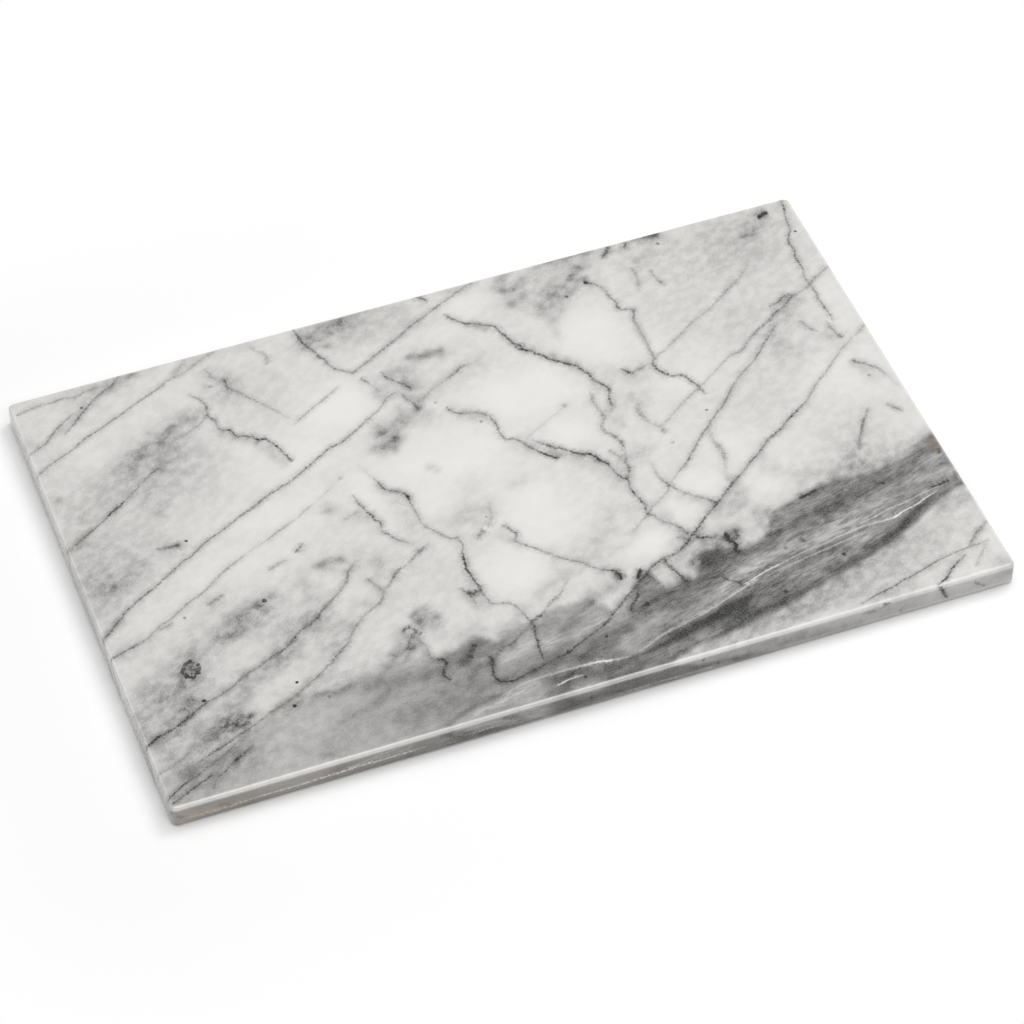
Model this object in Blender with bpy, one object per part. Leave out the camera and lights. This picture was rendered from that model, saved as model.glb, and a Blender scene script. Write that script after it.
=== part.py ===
"""Marble chopping board: a polished marble slab on four self-adhesive non-slip feet.

Metres, +Z up. The origin is on the surface that the board stands on, below the middle of
the slab. The slab's long side lies along X and its short side along Y.
Each foot is a die-cut rubber disc with its own adhesive disc between it and the stone.
"""
import math

import bmesh
import bpy

# Slab
SLAB_LENGTH = 0.457
SLAB_WIDTH = 0.305
SLAB_THICKNESS = 0.0127
# Radius of the slab's upright corners, seen from above
CORNER_RADIUS = 0.0035
# Radius of the polished arris round the top face
TOP_ROUND = 0.0018
# Radius of the small ease round the underside
LOWER_EASE = 0.0006

# Non-slip feet
FOOT_RADIUS = 0.010
FOOT_THICKNESS = 0.0005
# Radius of the worn rim round a foot's underside
FOOT_RIM_ROUND = 0.0002
# Distance from the slab's sides to the nearest point of a foot
FOOT_INSET = 0.018

# Adhesive discs
ADHESIVE_THICKNESS = 0.0001
# How far an adhesive disc stays inside its foot's rim
ADHESIVE_MARGIN = 0.0006

# Clearance between faces that are stuck together
SEAT_GAP = 0.0003

# Smoothness of the curved surfaces
CORNER_SEGMENTS = 8
TOP_ROUND_SEGMENTS = 5
LOWER_EASE_SEGMENTS = 2
FOOT_SIDES = 48
FOOT_RIM_SEGMENTS = 2

# Heights above the surface that the board stands on
FOOT_BOTTOM = 0.0
ADHESIVE_BOTTOM = FOOT_BOTTOM + FOOT_THICKNESS + SEAT_GAP
SLAB_BOTTOM = ADHESIVE_BOTTOM + ADHESIVE_THICKNESS + SEAT_GAP

# Middle of a foot, measured from the middle of the slab
FOOT_X = SLAB_LENGTH / 2 - FOOT_INSET - FOOT_RADIUS
FOOT_Y = SLAB_WIDTH / 2 - FOOT_INSET - FOOT_RADIUS
FOOT_PLACES = {
    "front_left": (-FOOT_X, -FOOT_Y),
    "front_right": (FOOT_X, -FOOT_Y),
    "back_left": (-FOOT_X, FOOT_Y),
    "back_right": (FOOT_X, FOOT_Y),
}

# An arris radius is never larger than this share of the wall or corner that it rounds
FILLET_SHARE = 0.45

# Faces that meet at less than this angle are shaded as one smooth surface
SMOOTH_ANGLE = math.radians(40)


def clear_scene():
    """Removes every object that the file opened with."""
    for thing in list(bpy.data.objects):
        bpy.data.objects.remove(thing)


def make_material(name, colour, roughness):
    """A Principled material of one colour."""
    material = bpy.data.materials.new(name)
    material.use_nodes = True
    shader = material.node_tree.nodes["Principled BSDF"]
    shader.inputs["Base Color"].default_value = (*colour, 1.0)
    shader.inputs["Roughness"].default_value = roughness
    shader.inputs["Metallic"].default_value = 0.0
    material.diffuse_color = (*colour, 1.0)
    return material


def level_edges(shape, height):
    """The edges that lie level at one height, on the outside of the shape."""
    return [
        edge
        for edge in shape.edges
        if all(abs(vertex.co.z - height) < 1e-6 for vertex in edge.verts)
    ]


def round_edges(shape, edges, radius, segments):
    """Rounds a set of edges with a circular section."""
    bmesh.ops.bevel(
        shape,
        geom=edges,
        offset=radius,
        segments=segments,
        profile=0.5,
        affect="EDGES",
    )


def add_piece(name, shape, place, material):
    """Turns a finished bmesh into one named object and puts it in its place."""
    bmesh.ops.recalc_face_normals(shape, faces=shape.faces)
    mesh = bpy.data.meshes.new(name)
    shape.to_mesh(mesh)
    shape.free()
    mesh.shade_smooth()
    mesh.set_sharp_from_angle(angle=SMOOTH_ANGLE)
    mesh.materials.append(material)
    piece = bpy.data.objects.new(name, mesh)
    piece.location = place
    bpy.context.collection.objects.link(piece)
    return piece


def make_slab(material):
    """The marble slab, with its underside at height zero of its own frame."""
    shape = bmesh.new()
    bmesh.ops.create_cube(shape, size=1.0)
    bmesh.ops.translate(shape, verts=shape.verts, vec=(0, 0, 0.5))
    bmesh.ops.scale(shape, verts=shape.verts, vec=(SLAB_LENGTH, SLAB_WIDTH, SLAB_THICKNESS))
    upright = [edge for edge in shape.edges if abs(edge.verts[0].co.z - edge.verts[1].co.z) > 1e-6]
    round_edges(shape, upright, CORNER_RADIUS, CORNER_SEGMENTS)
    wall_limit = FILLET_SHARE * SLAB_THICKNESS
    corner_limit = 2 * FILLET_SHARE * CORNER_RADIUS
    top_round = min(TOP_ROUND, wall_limit, corner_limit)
    lower_ease = min(LOWER_EASE, wall_limit, corner_limit)
    round_edges(shape, level_edges(shape, SLAB_THICKNESS), top_round, TOP_ROUND_SEGMENTS)
    round_edges(shape, level_edges(shape, 0), lower_ease, LOWER_EASE_SEGMENTS)
    return add_piece("marble_slab", shape, (0, 0, SLAB_BOTTOM), material)


def make_disc(radius, thickness):
    """A plain upright disc that stands on height zero."""
    shape = bmesh.new()
    bmesh.ops.create_cone(
        shape,
        cap_ends=True,
        segments=FOOT_SIDES,
        radius1=radius,
        radius2=radius,
        depth=thickness,
    )
    bmesh.ops.translate(shape, verts=shape.verts, vec=(0, 0, thickness / 2))
    return shape


def make_foot(corner, material):
    """One rubber foot, rounded where it meets the worktop."""
    shape = make_disc(FOOT_RADIUS, FOOT_THICKNESS)
    rim_round = min(FOOT_RIM_ROUND, FILLET_SHARE * FOOT_THICKNESS)
    round_edges(shape, level_edges(shape, 0), rim_round, FOOT_RIM_SEGMENTS)
    x, y = FOOT_PLACES[corner]
    return add_piece(f"foot_{corner}", shape, (x, y, FOOT_BOTTOM), material)


def make_adhesive(corner, material):
    """The adhesive disc that holds one foot to the stone."""
    shape = make_disc(FOOT_RADIUS - ADHESIVE_MARGIN, ADHESIVE_THICKNESS)
    x, y = FOOT_PLACES[corner]
    return add_piece(f"adhesive_{corner}", shape, (x, y, ADHESIVE_BOTTOM), material)


def main():
    """Builds the whole board."""
    clear_scene()
    marble = make_material("polished_marble", (0.62, 0.62, 0.61), 0.18)
    rubber = make_material("foot_rubber", (0.35, 0.35, 0.34), 0.65)
    adhesive = make_material("adhesive_film", (0.75, 0.74, 0.70), 0.5)
    make_slab(marble)
    for corner in FOOT_PLACES:
        make_foot(corner, rubber)
        make_adhesive(corner, adhesive)


main()
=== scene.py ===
"""Marble chopping board: veined polished stone on four rubber feet, in soft light on a white table.

Metres, +Z up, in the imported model's own frame. The stone's pattern is drawn in millimetres on
the top face: x to the right along the long side, y away from the viewer.
"""
import math

import bpy
import numpy as np
from mathutils import Matrix, Vector, noise


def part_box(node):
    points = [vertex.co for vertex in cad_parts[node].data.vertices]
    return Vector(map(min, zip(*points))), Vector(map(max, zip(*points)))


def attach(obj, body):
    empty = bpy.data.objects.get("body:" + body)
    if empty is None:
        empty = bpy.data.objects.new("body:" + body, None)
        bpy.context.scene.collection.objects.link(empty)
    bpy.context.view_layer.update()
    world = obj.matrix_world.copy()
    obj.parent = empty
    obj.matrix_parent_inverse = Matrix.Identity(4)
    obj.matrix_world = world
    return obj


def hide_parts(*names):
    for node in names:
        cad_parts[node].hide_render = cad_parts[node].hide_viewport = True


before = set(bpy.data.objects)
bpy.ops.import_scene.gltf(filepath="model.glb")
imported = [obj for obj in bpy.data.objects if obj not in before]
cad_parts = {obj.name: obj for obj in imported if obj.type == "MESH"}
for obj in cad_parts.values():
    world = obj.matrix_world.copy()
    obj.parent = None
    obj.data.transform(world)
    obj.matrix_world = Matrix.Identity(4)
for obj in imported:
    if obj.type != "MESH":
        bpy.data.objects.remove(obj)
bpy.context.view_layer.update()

MM = 0.001
# Farther than anything on the board, in millimetres
FAR = 1e6

# The slab, in millimetres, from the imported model
SLAB_LOW, SLAB_HIGH = (tuple(value / MM for value in corner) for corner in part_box("marble_slab"))
HALF_LENGTH = (SLAB_HIGH[0] - SLAB_LOW[0]) / 2
HALF_WIDTH = (SLAB_HIGH[1] - SLAB_LOW[1]) / 2
SLAB_TOP = SLAB_HIGH[2]
SLAB_BOTTOM = SLAB_LOW[2]
CORNER_RADIUS = 3.5
TOP_ROUND = 1.8
LOWER_EASE = 0.6

# Fineness of the slab's mesh
CELLS_LONG = 330
CELLS_SHORT = 220
CORNER_CELLS = 3
ROUND_STEPS = 5
WALL_STEPS = 9
EASE_STEPS = 3
UNDERSIDE_EVERY = 5
UNDERSIDE_MARGIN = 6.0

# The veins lean back into the stone by this much for each millimetre of depth
VEIN_LEAN = 1.1
# Width in mm of the blend at the corners from the front wall's pattern to the side walls' one
CORNER_BLEND = 2.0
# The stone's general grain runs up to the right at this angle in degrees, and is longer that way
GRAIN_SLANT = 32.0
GRAIN_STRETCH = 1.35

# How far from a line's middle its marks and its soft halo reach in mm, and where the marks fade out
LINE_REACH = 6.0
LINE_FADE = 2.5
HALO_REACH = 2.8
HALO_STRENGTH = 0.3
# Spacing of the points along a smoothed line, in millimetres
LINE_STEP = 2.5
# Veins are drawn in layers, so that lines that cross both show: how many, and how far apart the
# lines of one layer keep in mm
VEIN_LAYERS = 5
LAYER_SPACING = 11.0

# Each vein: half width in mm, then (x, y, darkness in percent) along it
VEINS = (
    # Back left
    (0.5, ((-226, 142, 35), (-218, 144, 35), (-210, 145, 30), (-204, 144.5, 40), (-198.3, 145.7, 40),
        (-192, 144, 30), (-187, 146.2, 30), (-182, 146.8, 30), (-176, 147, 10))),
    (0.5, ((-231, 109, 20), (-227, 111, 30), (-222, 113.2, 35), (-216, 116.5, 45), (-214, 118.8, 60),
        (-209, 123.8, 45), (-204, 127.5, 40), (-199, 131, 30), (-196, 133, 10))),
    (0.55, ((-206, 118.5, 20), (-200, 123.5, 40), (-194, 129, 50), (-188, 135, 50), (-181, 140.5, 50),
        (-175, 143.8, 40), (-171, 146, 45), (-167, 150, 45), (-165, 152.5, 40), (-160, 160, 40))),
    (0.6, ((-232, 91, 30), (-228, 93.5, 30), (-222, 97.5, 35), (-216, 101, 40), (-205, 106, 35),
        (-198, 110.5, 45), (-190, 114.5, 40), (-184, 117, 35), (-179, 119.5, 45), (-172, 122.7, 40),
        (-167, 125.5, 35), (-160, 129, 40), (-150, 133.5, 45), (-142, 138.2, 35), (-137, 139.5, 25),
        (-130, 141.5, 25), (-124, 145.2, 25), (-118, 148.3, 25), (-112, 150.8, 25), (-104, 155, 20))),
    (1.2, ((-140, 139, 8), (-134, 144.5, 12), (-129, 150, 12), (-126, 156, 12))),
    (0.6, ((-232, 34.5, 40), (-228, 36, 40), (-224, 37.5, 45), (-219.5, 39.7, 60), (-215, 42.5, 60),
        (-211, 45, 50), (-207, 47.5, 35), (-203, 50, 40), (-198, 53.8, 85), (-192, 57.3, 85),
        (-189, 60, 25), (-183, 64, 30), (-177, 69, 30), (-173, 71.8, 40), (-169, 74.5, 45),
        (-165, 76.5, 20))),
    (0.6, ((-148, 93, 10), (-144, 95.5, 25), (-140, 97.5, 25), (-134, 100.8, 25), (-130.5, 104.5, 25))),
    (0.65, ((-135, 124, 15), (-132, 120.5, 35), (-130.5, 118.5, 40), (-129, 115, 40),
        (-128.2, 111.5, 45), (-129, 107.5, 35), (-130, 105, 45), (-128.5, 101.5, 45), (-127.2, 99.7, 65),
        (-127, 95.5, 35), (-126.3, 91.5, 35), (-122, 90, 60), (-121, 86.5, 65), (-119.7, 83.2, 55),
        (-116.5, 83, 50), (-114.5, 81.5, 50), (-111, 79.5, 60), (-110, 76.8, 75), (-107, 76.8, 75),
        (-104.5, 73.5, 50), (-102.5, 69.5, 60), (-101, 65.5, 70), (-100, 62, 45), (-99, 58.5, 60),
        (-98, 55, 65))),
    (0.8, ((-121, 140, 20), (-119.5, 136, 25), (-119, 132, 25), (-117, 130, 20))),
    (0.7, ((-114.2, 129, 35), (-113, 126.5, 60), (-113.5, 123, 40), (-112.5, 120, 50), (-110, 117, 25),
        (-107, 113, 30), (-105, 109.5, 35), (-103, 107, 30), (-100, 103, 20), (-97.5, 99.5, 25),
        (-95, 95.5, 25), (-92.5, 91.5, 22), (-91, 88.5, 18), (-88, 86, 5))),
    # Back middle
    (0.7, ((-67, 156, 30), (-66, 151, 35), (-65.5, 147, 60), (-64.8, 143, 60), (-64.6, 140, 80),
        (-63.8, 137, 50), (-62, 133.5, 50), (-60.5, 131, 45), (-60.3, 128, 55), (-59.3, 125, 65),
        (-57.2, 123.3, 50), (-57, 119.5, 50), (-55.5, 116, 45), (-53.5, 113, 50), (-51, 111, 45),
        (-49, 109.5, 40), (-46.5, 107.3, 45), (-43, 109, 40), (-40, 110.5, 45), (-36, 112.3, 50),
        (-28, 117, 45), (-20, 121.5, 50), (-15, 124, 40), (-10, 127.5, 45), (-5, 130.5, 45),
        (0, 132.8, 50), (3, 134, 35), (7, 136.5, 35), (12, 139, 45), (18, 142, 40), (24, 144.5, 30),
        (29, 147.5, 40), (35, 150, 30), (41, 152.5, 30), (50, 157, 30))),
    (0.6, ((-89, 80.5, 10), (-85, 83.5, 25), (-80, 86.5, 35), (-76, 88.8, 35), (-72, 91, 25),
        (-68, 93, 40), (-64, 95.5, 30), (-60, 98, 25), (-55, 101, 5))),
    (0.9, ((-24, 69.5, 15), (-20, 72, 25), (-16, 75, 30), (-13, 77.5, 25), (-8, 80, 15),
        (-1.5, 83.2, 20), (3, 85.5, 35), (7, 87.8, 40), (10.5, 90, 40), (18, 91, 10), (24, 94, 10),
        (27, 96, 5))),
    (0.8, ((-43.8, 102, 50), (-42.8, 100.3, 50), (-40, 95, 20), (-37.5, 88, 15))),
    (0.8, ((-31.5, 102.5, 25), (-31.2, 99, 50), (-30, 96, 40), (-28, 94, 45), (-26.5, 92, 30),
        (-24, 89.5, 50), (-23, 87.5, 55), (-21.3, 86, 60), (-21.3, 82, 15))),
    (0.8, ((-27, 83, 20), (-26.3, 80.5, 45), (-25.5, 77, 30), (-23.5, 73.5, 40), (-22.5, 70, 50),
        (-22.5, 67, 40))),
    (1.0, ((4, 156, 40), (5.5, 151.5, 50), (7.5, 150, 60), (9, 147.5, 50), (9.8, 144.5, 15))),
    (0.9, ((-92.5, 147, 15), (-90.5, 143.5, 20), (-89, 141, 15), (-87, 139.5, 30), (-86, 136.5, 30),
        (-87, 133, 30), (-88, 130.5, 20))),
    (0.75, ((15.5, 133, 35), (17, 129.5, 50), (19.5, 126, 45), (22, 123, 50), (24.5, 120.8, 60),
        (28, 119.8, 55), (31, 118, 50), (34, 116, 50), (37, 114.5, 55), (38.8, 111, 50),
        (39.6, 107.5, 60), (41, 104, 70), (42, 100, 65), (42.8, 97, 70), (45, 95, 60), (46.5, 93.3, 75),
        (46, 90.8, 75), (48, 89, 75), (50.5, 87, 60), (52, 84.8, 65), (55, 82, 70), (56.5, 78.8, 70),
        (59, 76.5, 75), (62, 74, 75), (64.5, 71.5, 80), (66.5, 70, 60), (69, 68, 50), (70.3, 65, 60),
        (71, 62.5, 50), (73, 60.5, 60), (73.2, 57, 65), (74, 53.5, 55), (76, 50.5, 55), (78.5, 47, 65),
        (79, 44, 65), (77.5, 41, 50), (76.5, 38, 55), (76.3, 34, 50), (76, 31, 25), (73, 28, 10))),
    (0.5, ((44, 96.5, 20), (43.5, 93.5, 55), (44.5, 91, 50), (47, 89.5, 40))),
    (0.8, ((96.5, 129, 70), (97.5, 127.8, 85), (100, 126, 40), (102.5, 123, 35), (104.5, 120, 40),
        (105.3, 117, 35), (105, 114, 40), (105.2, 111.5, 50), (107, 108, 40), (107, 105, 50),
        (106, 102.5, 55), (107.5, 100.5, 40), (109.5, 100, 40), (112, 99, 45), (113.8, 98, 55),
        (113, 95, 50), (111.5, 92, 40), (110.8, 89, 25), (111.5, 85, 20), (110.8, 80, 20),
        (111.3, 75, 25), (111, 70, 25), (110.5, 66, 40), (110.8, 62, 45), (110.5, 59, 40), (109, 56, 40),
        (108, 54, 60), (108.5, 51, 65), (109, 49, 60), (111, 45.5, 60), (113, 43, 65), (115, 41.5, 50),
        (118, 41, 55), (120.5, 39.5, 50), (122, 36.5, 55), (122.2, 34, 60), (124, 31.5, 50),
        (124.5, 29, 45), (125.5, 25, 40), (126.8, 21.5, 15))),
    (0.7, ((110, 57, 15), (115, 60.5, 20), (120, 63, 20), (125, 66.5, 25), (128, 68.5, 35),
        (134, 72.5, 25), (141, 77.5, 30), (150, 81.5, 20), (160, 88, 25), (168, 94, 35), (176, 99, 25),
        (185, 107, 15), (189, 112, 5))),
    (0.8, ((90, 58, 20), (92, 55, 50), (93.5, 52.5, 70), (95, 51.5, 60), (96.5, 52.5, 40),
        (99, 53.5, 35), (101, 53.5, 35), (104, 55, 25))),
    (1.0, ((125, 130, 20), (125.5, 125, 25), (125.3, 120, 20), (124.3, 117, 35), (123, 113, 15),
        (121.5, 109.5, 10))),
    (1.2, ((113, 143, 35), (115, 145.5, 60), (118, 148, 55), (119.5, 151.5, 45), (121, 156, 40))),
    (1.0, ((127, 146, 35), (129, 149, 50), (129.5, 152, 40), (130, 157, 30))),
    (0.9, ((134, 125, 20), (134.5, 119, 20), (136, 113.5, 45), (138, 109, 15))),
    # Back right
    (0.65, ((224.5, 157, 45), (224, 151, 50), (223.5, 148, 55), (223, 143.5, 65), (221.5, 139.5, 40),
        (220.8, 136, 45), (220.3, 132, 50), (220, 129, 40), (219.5, 126.5, 30), (217, 122.5, 50),
        (215.2, 119.5, 55), (214.5, 115.5, 60), (215.2, 112, 55), (214.3, 108, 45), (213, 103.5, 60),
        (213.5, 100, 55), (213.5, 96, 55), (213, 92, 25), (211.5, 88, 30), (212, 83, 30),
        (212.5, 80, 35), (212.3, 77, 40), (212.8, 73, 50), (212, 70, 45), (212.2, 66, 40),
        (212.5, 61.5, 60), (212.8, 58, 40), (213, 54.5, 50), (212.5, 50, 20))),
    (0.75, ((163, 52, 25), (167, 55, 40), (172, 58.5, 40), (177.5, 61.5, 35), (180, 63, 45),
        (184, 66, 50), (187.5, 68, 55), (190, 69, 35), (194, 72, 45), (198, 75, 50), (202, 76.5, 30),
        (207, 78.5, 25), (211, 80.5, 25), (216, 84.5, 40), (221, 87.5, 35), (227, 91, 30),
        (232, 93, 30))),
    (0.7, ((184, 73, 35), (187, 74, 40), (190.5, 74.5, 45), (194, 77.5, 50), (198, 78.5, 50),
        (200, 76, 30))),
    (0.9, ((195.8, 56.5, 30), (197, 52.5, 30), (198, 49, 30), (200, 46.5, 35), (202, 45, 10))),
    (1.5, ((172, 50, 15), (178, 56, 20), (184, 60, 15))),
    (1.0, ((209.5, 50, 30), (209, 46.5, 40), (210, 42, 30), (211, 38, 50), (213, 35.5, 35))),
    (1.3, ((206, 142.3, 95), (208, 143, 97), (210, 144.5, 97), (213.5, 144.8, 95))),
    (0.45, ((74, 151.6, 30), (76, 151.6, 50), (79, 151.7, 30), (84, 151.7, 70), (95, 151.6, 70),
        (100, 151.7, 40), (105, 151.7, 60), (110, 151.7, 30))),
    (0.7, ((139, 151.6, 80), (141, 151.4, 95), (146, 151.5, 95), (149.5, 151.6, 90))),
    # Middle left
    (0.6, ((-232, -34, 50), (-228, -31.5, 50), (-224, -28.5, 50), (-220, -25, 55), (-217, -22, 50),
        (-214, -20, 50), (-211, -16.5, 50), (-207, -14.5, 45), (-200, -9.8, 55), (-195, -7.5, 50),
        (-190, -4.3, 45), (-186, -1.5, 45), (-183, 0, 35), (-180, 2, 50), (-174, 6, 50), (-168, 8.5, 45),
        (-161, 13.5, 50), (-155, 17, 55), (-150, 19, 50), (-140, 24.5, 50), (-134, 27.5, 45),
        (-128, 30, 50), (-120, 34.5, 55), (-115, 36.7, 50), (-108, 39.8, 50), (-104, 41, 45),
        (-100, 43, 50), (-96, 45.5, 55), (-90, 49, 50), (-85, 52, 50), (-80, 55, 55), (-75, 57.8, 60),
        (-70, 58.5, 50), (-60, 64, 50), (-50, 70.5, 40), (-45, 73.3, 30), (-41, 76, 25), (-36, 81.3, 30),
        (-33, 83.3, 30), (-30, 84.5, 20), (-27, 85, 5))),
    (0.6, ((-232, -47, 55), (-227, -45.5, 55), (-223, -44.3, 55), (-219, -43, 50), (-210, -40.5, 45),
        (-205, -38, 30), (-200, -34.5, 25), (-196, -32, 30), (-191, -30, 35), (-187, -27.5, 35),
        (-183, -25, 35), (-178, -22, 35), (-172, -19.5, 35), (-166, -15.5, 35), (-160, -11, 35),
        (-155, -7.8, 35), (-150, -5, 40), (-146, -3, 30), (-140, 0, 15), (-135, 2, 20), (-130, 4, 20),
        (-125, 6.5, 35), (-120, 9, 40), (-114, 12, 25), (-109, 14, 10), (-104, 17.5, 25),
        (-100.5, 19.3, 25), (-96, 22, 8), (-92, 24, 12), (-88, 27, 12), (-80, 31.5, 5))),
    (0.5, ((-78.5, 34.5, 35), (-77.5, 32.5, 35))),
    (0.5, ((-199, -35.5, 45), (-197, -35, 40), (-194, -34.3, 35), (-191, -33.5, 20))),
    (0.9, ((-184, 19.5, 40), (-181, 19, 30), (-178, 18.5, 50), (-175, 18.3, 65), (-172, 18.5, 50))),
    (0.8, ((-116.8, -8.8, 50), (-115, -7.5, 50), (-113, -5.5, 45), (-111.5, -3.5, 20))),
    (0.8, ((-133.5, -15.8, 30), (-131, -14.5, 25), (-127, -13.3, 20), (-123, -12, 10))),
    (1.2, ((-171, -28.5, 30), (-167, -26.5, 35), (-163, -24.5, 40), (-161, -24, 30))),
    (0.7, ((-160, -78.3, 40), (-155, -76, 40), (-150, -73.5, 50), (-146, -72.5, 55), (-141, -70, 50),
        (-137, -66.5, 60), (-133, -63, 45), (-129, -61, 45), (-125, -59.5, 45), (-121, -57, 55),
        (-117, -53, 50), (-112, -49.5, 40), (-108, -46.5, 35), (-103, -42.5, 35), (-99, -38.5, 40),
        (-97, -35.5, 45), (-96, -32, 50), (-93, -29.5, 35), (-91.5, -28, 55))),
    (0.65, ((-76, 20, 20), (-75, 16, 30), (-75.2, 13.5, 45), (-74, 10, 60), (-73, 6.5, 35),
        (-72.5, 4, 70), (-71, 2, 70), (-71, -1, 55), (-69.5, -3, 50), (-68.3, -4.5, 65), (-69, -7, 50),
        (-70, -10, 30), (-69.5, -12, 60), (-67.5, -14, 45), (-66, -17, 40), (-64.5, -19.5, 35),
        (-62.5, -21.5, 40), (-60, -23.5, 25), (-57, -26.5, 10))),
    (0.8, ((-89, 3, 10), (-84, 4.5, 25), (-80, 6, 20), (-77, 7.5, 20))),
    (0.7, ((-88, -40, 35), (-87.5, -42, 30), (-86, -45, 20), (-84.5, -48, 25), (-84, -51, 30))),
    (0.75, ((-50, -27.5, 20), (-53, -30, 35), (-56, -31.5, 55), (-59, -33.5, 35), (-62, -35.5, 35),
        (-65, -38, 25), (-69, -39.5, 30), (-72, -41, 50), (-74, -43, 60), (-76.5, -46, 40),
        (-79, -48.5, 30), (-82, -50.5, 25), (-83.5, -53, 35), (-85, -56, 45), (-88, -59, 35),
        (-92, -61, 30), (-96, -63, 30), (-100, -66, 30), (-104, -69.5, 35), (-108, -74, 35),
        (-111, -79, 40), (-115, -81.5, 50), (-120, -85.5, 55), (-124, -89, 45), (-128, -91.5, 35),
        (-131, -94, 45), (-135, -96, 35), (-143, -100.5, 35), (-152, -105.5, 35), (-162, -109, 45),
        (-165, -110.5, 25))),
    # Middle
    (0.65, ((-66, 41, 5), (-64, 34, 10), (-62, 28, 15), (-60.5, 24, 35), (-59.7, 21, 65), (-59, 18, 65),
        (-57.5, 16, 50), (-54.5, 14.5, 55), (-51.5, 12.5, 50), (-50, 10.5, 60), (-49, 7.5, 85),
        (-49.2, 4, 40), (-49, 0, 30), (-48.8, -5, 35), (-48.5, -9, 35), (-49, -12.5, 25),
        (-47.5, -16, 30), (-45, -19.5, 35), (-42.5, -23, 35), (-40.5, -26.5, 35), (-38, -29, 45),
        (-35, -29.5, 45), (-34, -32, 35), (-33.7, -35, 40), (-34.8, -38, 35), (-36, -41, 50),
        (-36.7, -44.5, 70), (-36.8, -47, 80), (-37.5, -50, 85), (-38, -53, 90), (-37.2, -56, 75),
        (-37, -60, 75), (-36.5, -64, 60), (-35.5, -67, 65), (-35.8, -69, 50), (-35.5, -73, 30),
        (-34.8, -77, 35), (-34.5, -79.5, 40), (-32, -81, 35), (-28, -82, 35), (-25, -83.5, 35),
        (-23, -86, 35), (-22, -89, 30), (-21.2, -92, 30), (-20.5, -95, 50), (-19, -100, 55),
        (-19.5, -104, 70), (-20.3, -108, 60), (-21, -113, 85), (-21.8, -117, 75), (-22.3, -120, 60),
        (-22, -122, 80), (-23, -126, 50))),
    (0.9, ((-43, -68, 55), (-41.5, -69, 60), (-40, -70, 90), (-38.5, -69, 55), (-36, -69, 50))),
    (0.7, ((-45.5, -63.5, 30), (-44.5, -66, 40), (-43, -68, 50), (-41.8, -73, 35), (-41.8, -77.5, 20))),
    (0.8, ((-55, -121, 20), (-50, -119, 30), (-46, -116.5, 35), (-42, -113, 40), (-38, -110.5, 40),
        (-34, -110, 70), (-30, -107.5, 35), (-26, -104.5, 30), (-22, -102, 35), (-18, -99, 70),
        (-15.5, -97.5, 60), (-13.5, -97, 60), (-10, -94, 25), (-6, -91, 30), (-2, -88.3, 40),
        (1, -86.5, 35), (4, -83.5, 25), (7, -80, 25), (10, -77, 10))),
    (0.7, ((-10, -29, 25), (-8.5, -31, 60), (-7, -33.5, 50), (-6, -36, 55), (-4.5, -38, 60),
        (-6, -40, 35), (-7.5, -42.5, 30), (-6, -45, 35), (-3.5, -47.5, 40), (-1, -50, 35), (1, -52, 45),
        (4, -55.5, 35), (7.5, -59, 35), (11, -63, 35), (17, -68, 40), (20, -70, 30), (22, -73, 35),
        (24.5, -76, 40), (28, -78.5, 40), (31, -80, 55), (33.5, -82, 75), (34.5, -84.5, 75),
        (34.8, -86, 85), (34.5, -88.5, 95))),
    (1.6, ((-26, -35, 25), (-23.5, -32.5, 35), (-21, -30.5, 40), (-19.5, -29.5, 50))),
    (1.2, ((-17, -28, 25), (-14, -24, 25), (-13, -21, 20), (-12, -17, 20), (-11, -12, 15))),
    (0.7, ((-8, 64, 25), (-7, 62, 50), (-5.5, 59, 50), (-3.5, 57, 40), (-1, 56, 50), (2, 55.3, 40),
        (6, 54, 30), (9, 52, 30), (11.5, 49, 35), (12.5, 44, 50), (12.8, 40, 50), (12.3, 36, 45),
        (13, 32, 50), (14, 29, 45), (17, 28.3, 45), (19, 27, 40), (21, 24, 40), (23.5, 19.5, 70),
        (25, 17, 30), (27, 14, 60), (29.5, 11, 90), (31, 9, 85), (33.5, 6.8, 75), (35, 5.5, 70))),
    (0.8, ((26, 24, 15), (28, 22, 25), (30, 20.5, 40), (32.5, 17, 70), (34.5, 16, 65), (36, 13.5, 60),
        (38.5, 13, 60), (40.5, 10.5, 60), (42, 9, 30), (44, 7, 95), (46.5, 5, 75), (49, 3.5, 80),
        (50.5, 3.5, 75), (52, 1.8, 90), (53.5, 0, 80), (54.5, -2.5, 80), (56, -5, 75), (57.8, -7.5, 95),
        (58.5, -11, 30), (59.5, -15, 35), (60.5, -19, 60), (62, -21, 60), (63.8, -21.8, 70),
        (63, -26, 35), (62.5, -29, 30), (62.7, -32, 65), (63.5, -36, 35), (64.5, -40, 60),
        (65.5, -43, 40), (64.5, -46, 55), (64.3, -50, 50), (66.5, -52, 35), (68, -55, 25), (70, -58, 30),
        (72.5, -60, 30), (74, -62, 40), (75.5, -64, 45), (77, -66.5, 60), (78, -69, 50), (79, -71, 60))),
    (1.0, ((69, 46, 15), (68, 42, 35), (67.3, 38, 25), (68, 33, 25), (68.8, 28, 40), (68.5, 25, 40),
        (66.5, 22, 30), (64.5, 18, 30), (65.5, 15, 35), (67.5, 12, 40), (69, 9.5, 45), (69.5, 7, 40),
        (70.5, 4.5, 55), (70, 1.5, 40), (69.5, -2, 20), (69, -6, 20), (68, -8, 40), (67, -11, 40),
        (67.5, -14, 55), (66.5, -17, 40), (64.5, -20, 40), (63.5, -22, 40))),
    (1.2, ((62, 1.5, 25), (64.5, -3, 25), (67, -6.5, 20))),
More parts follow.
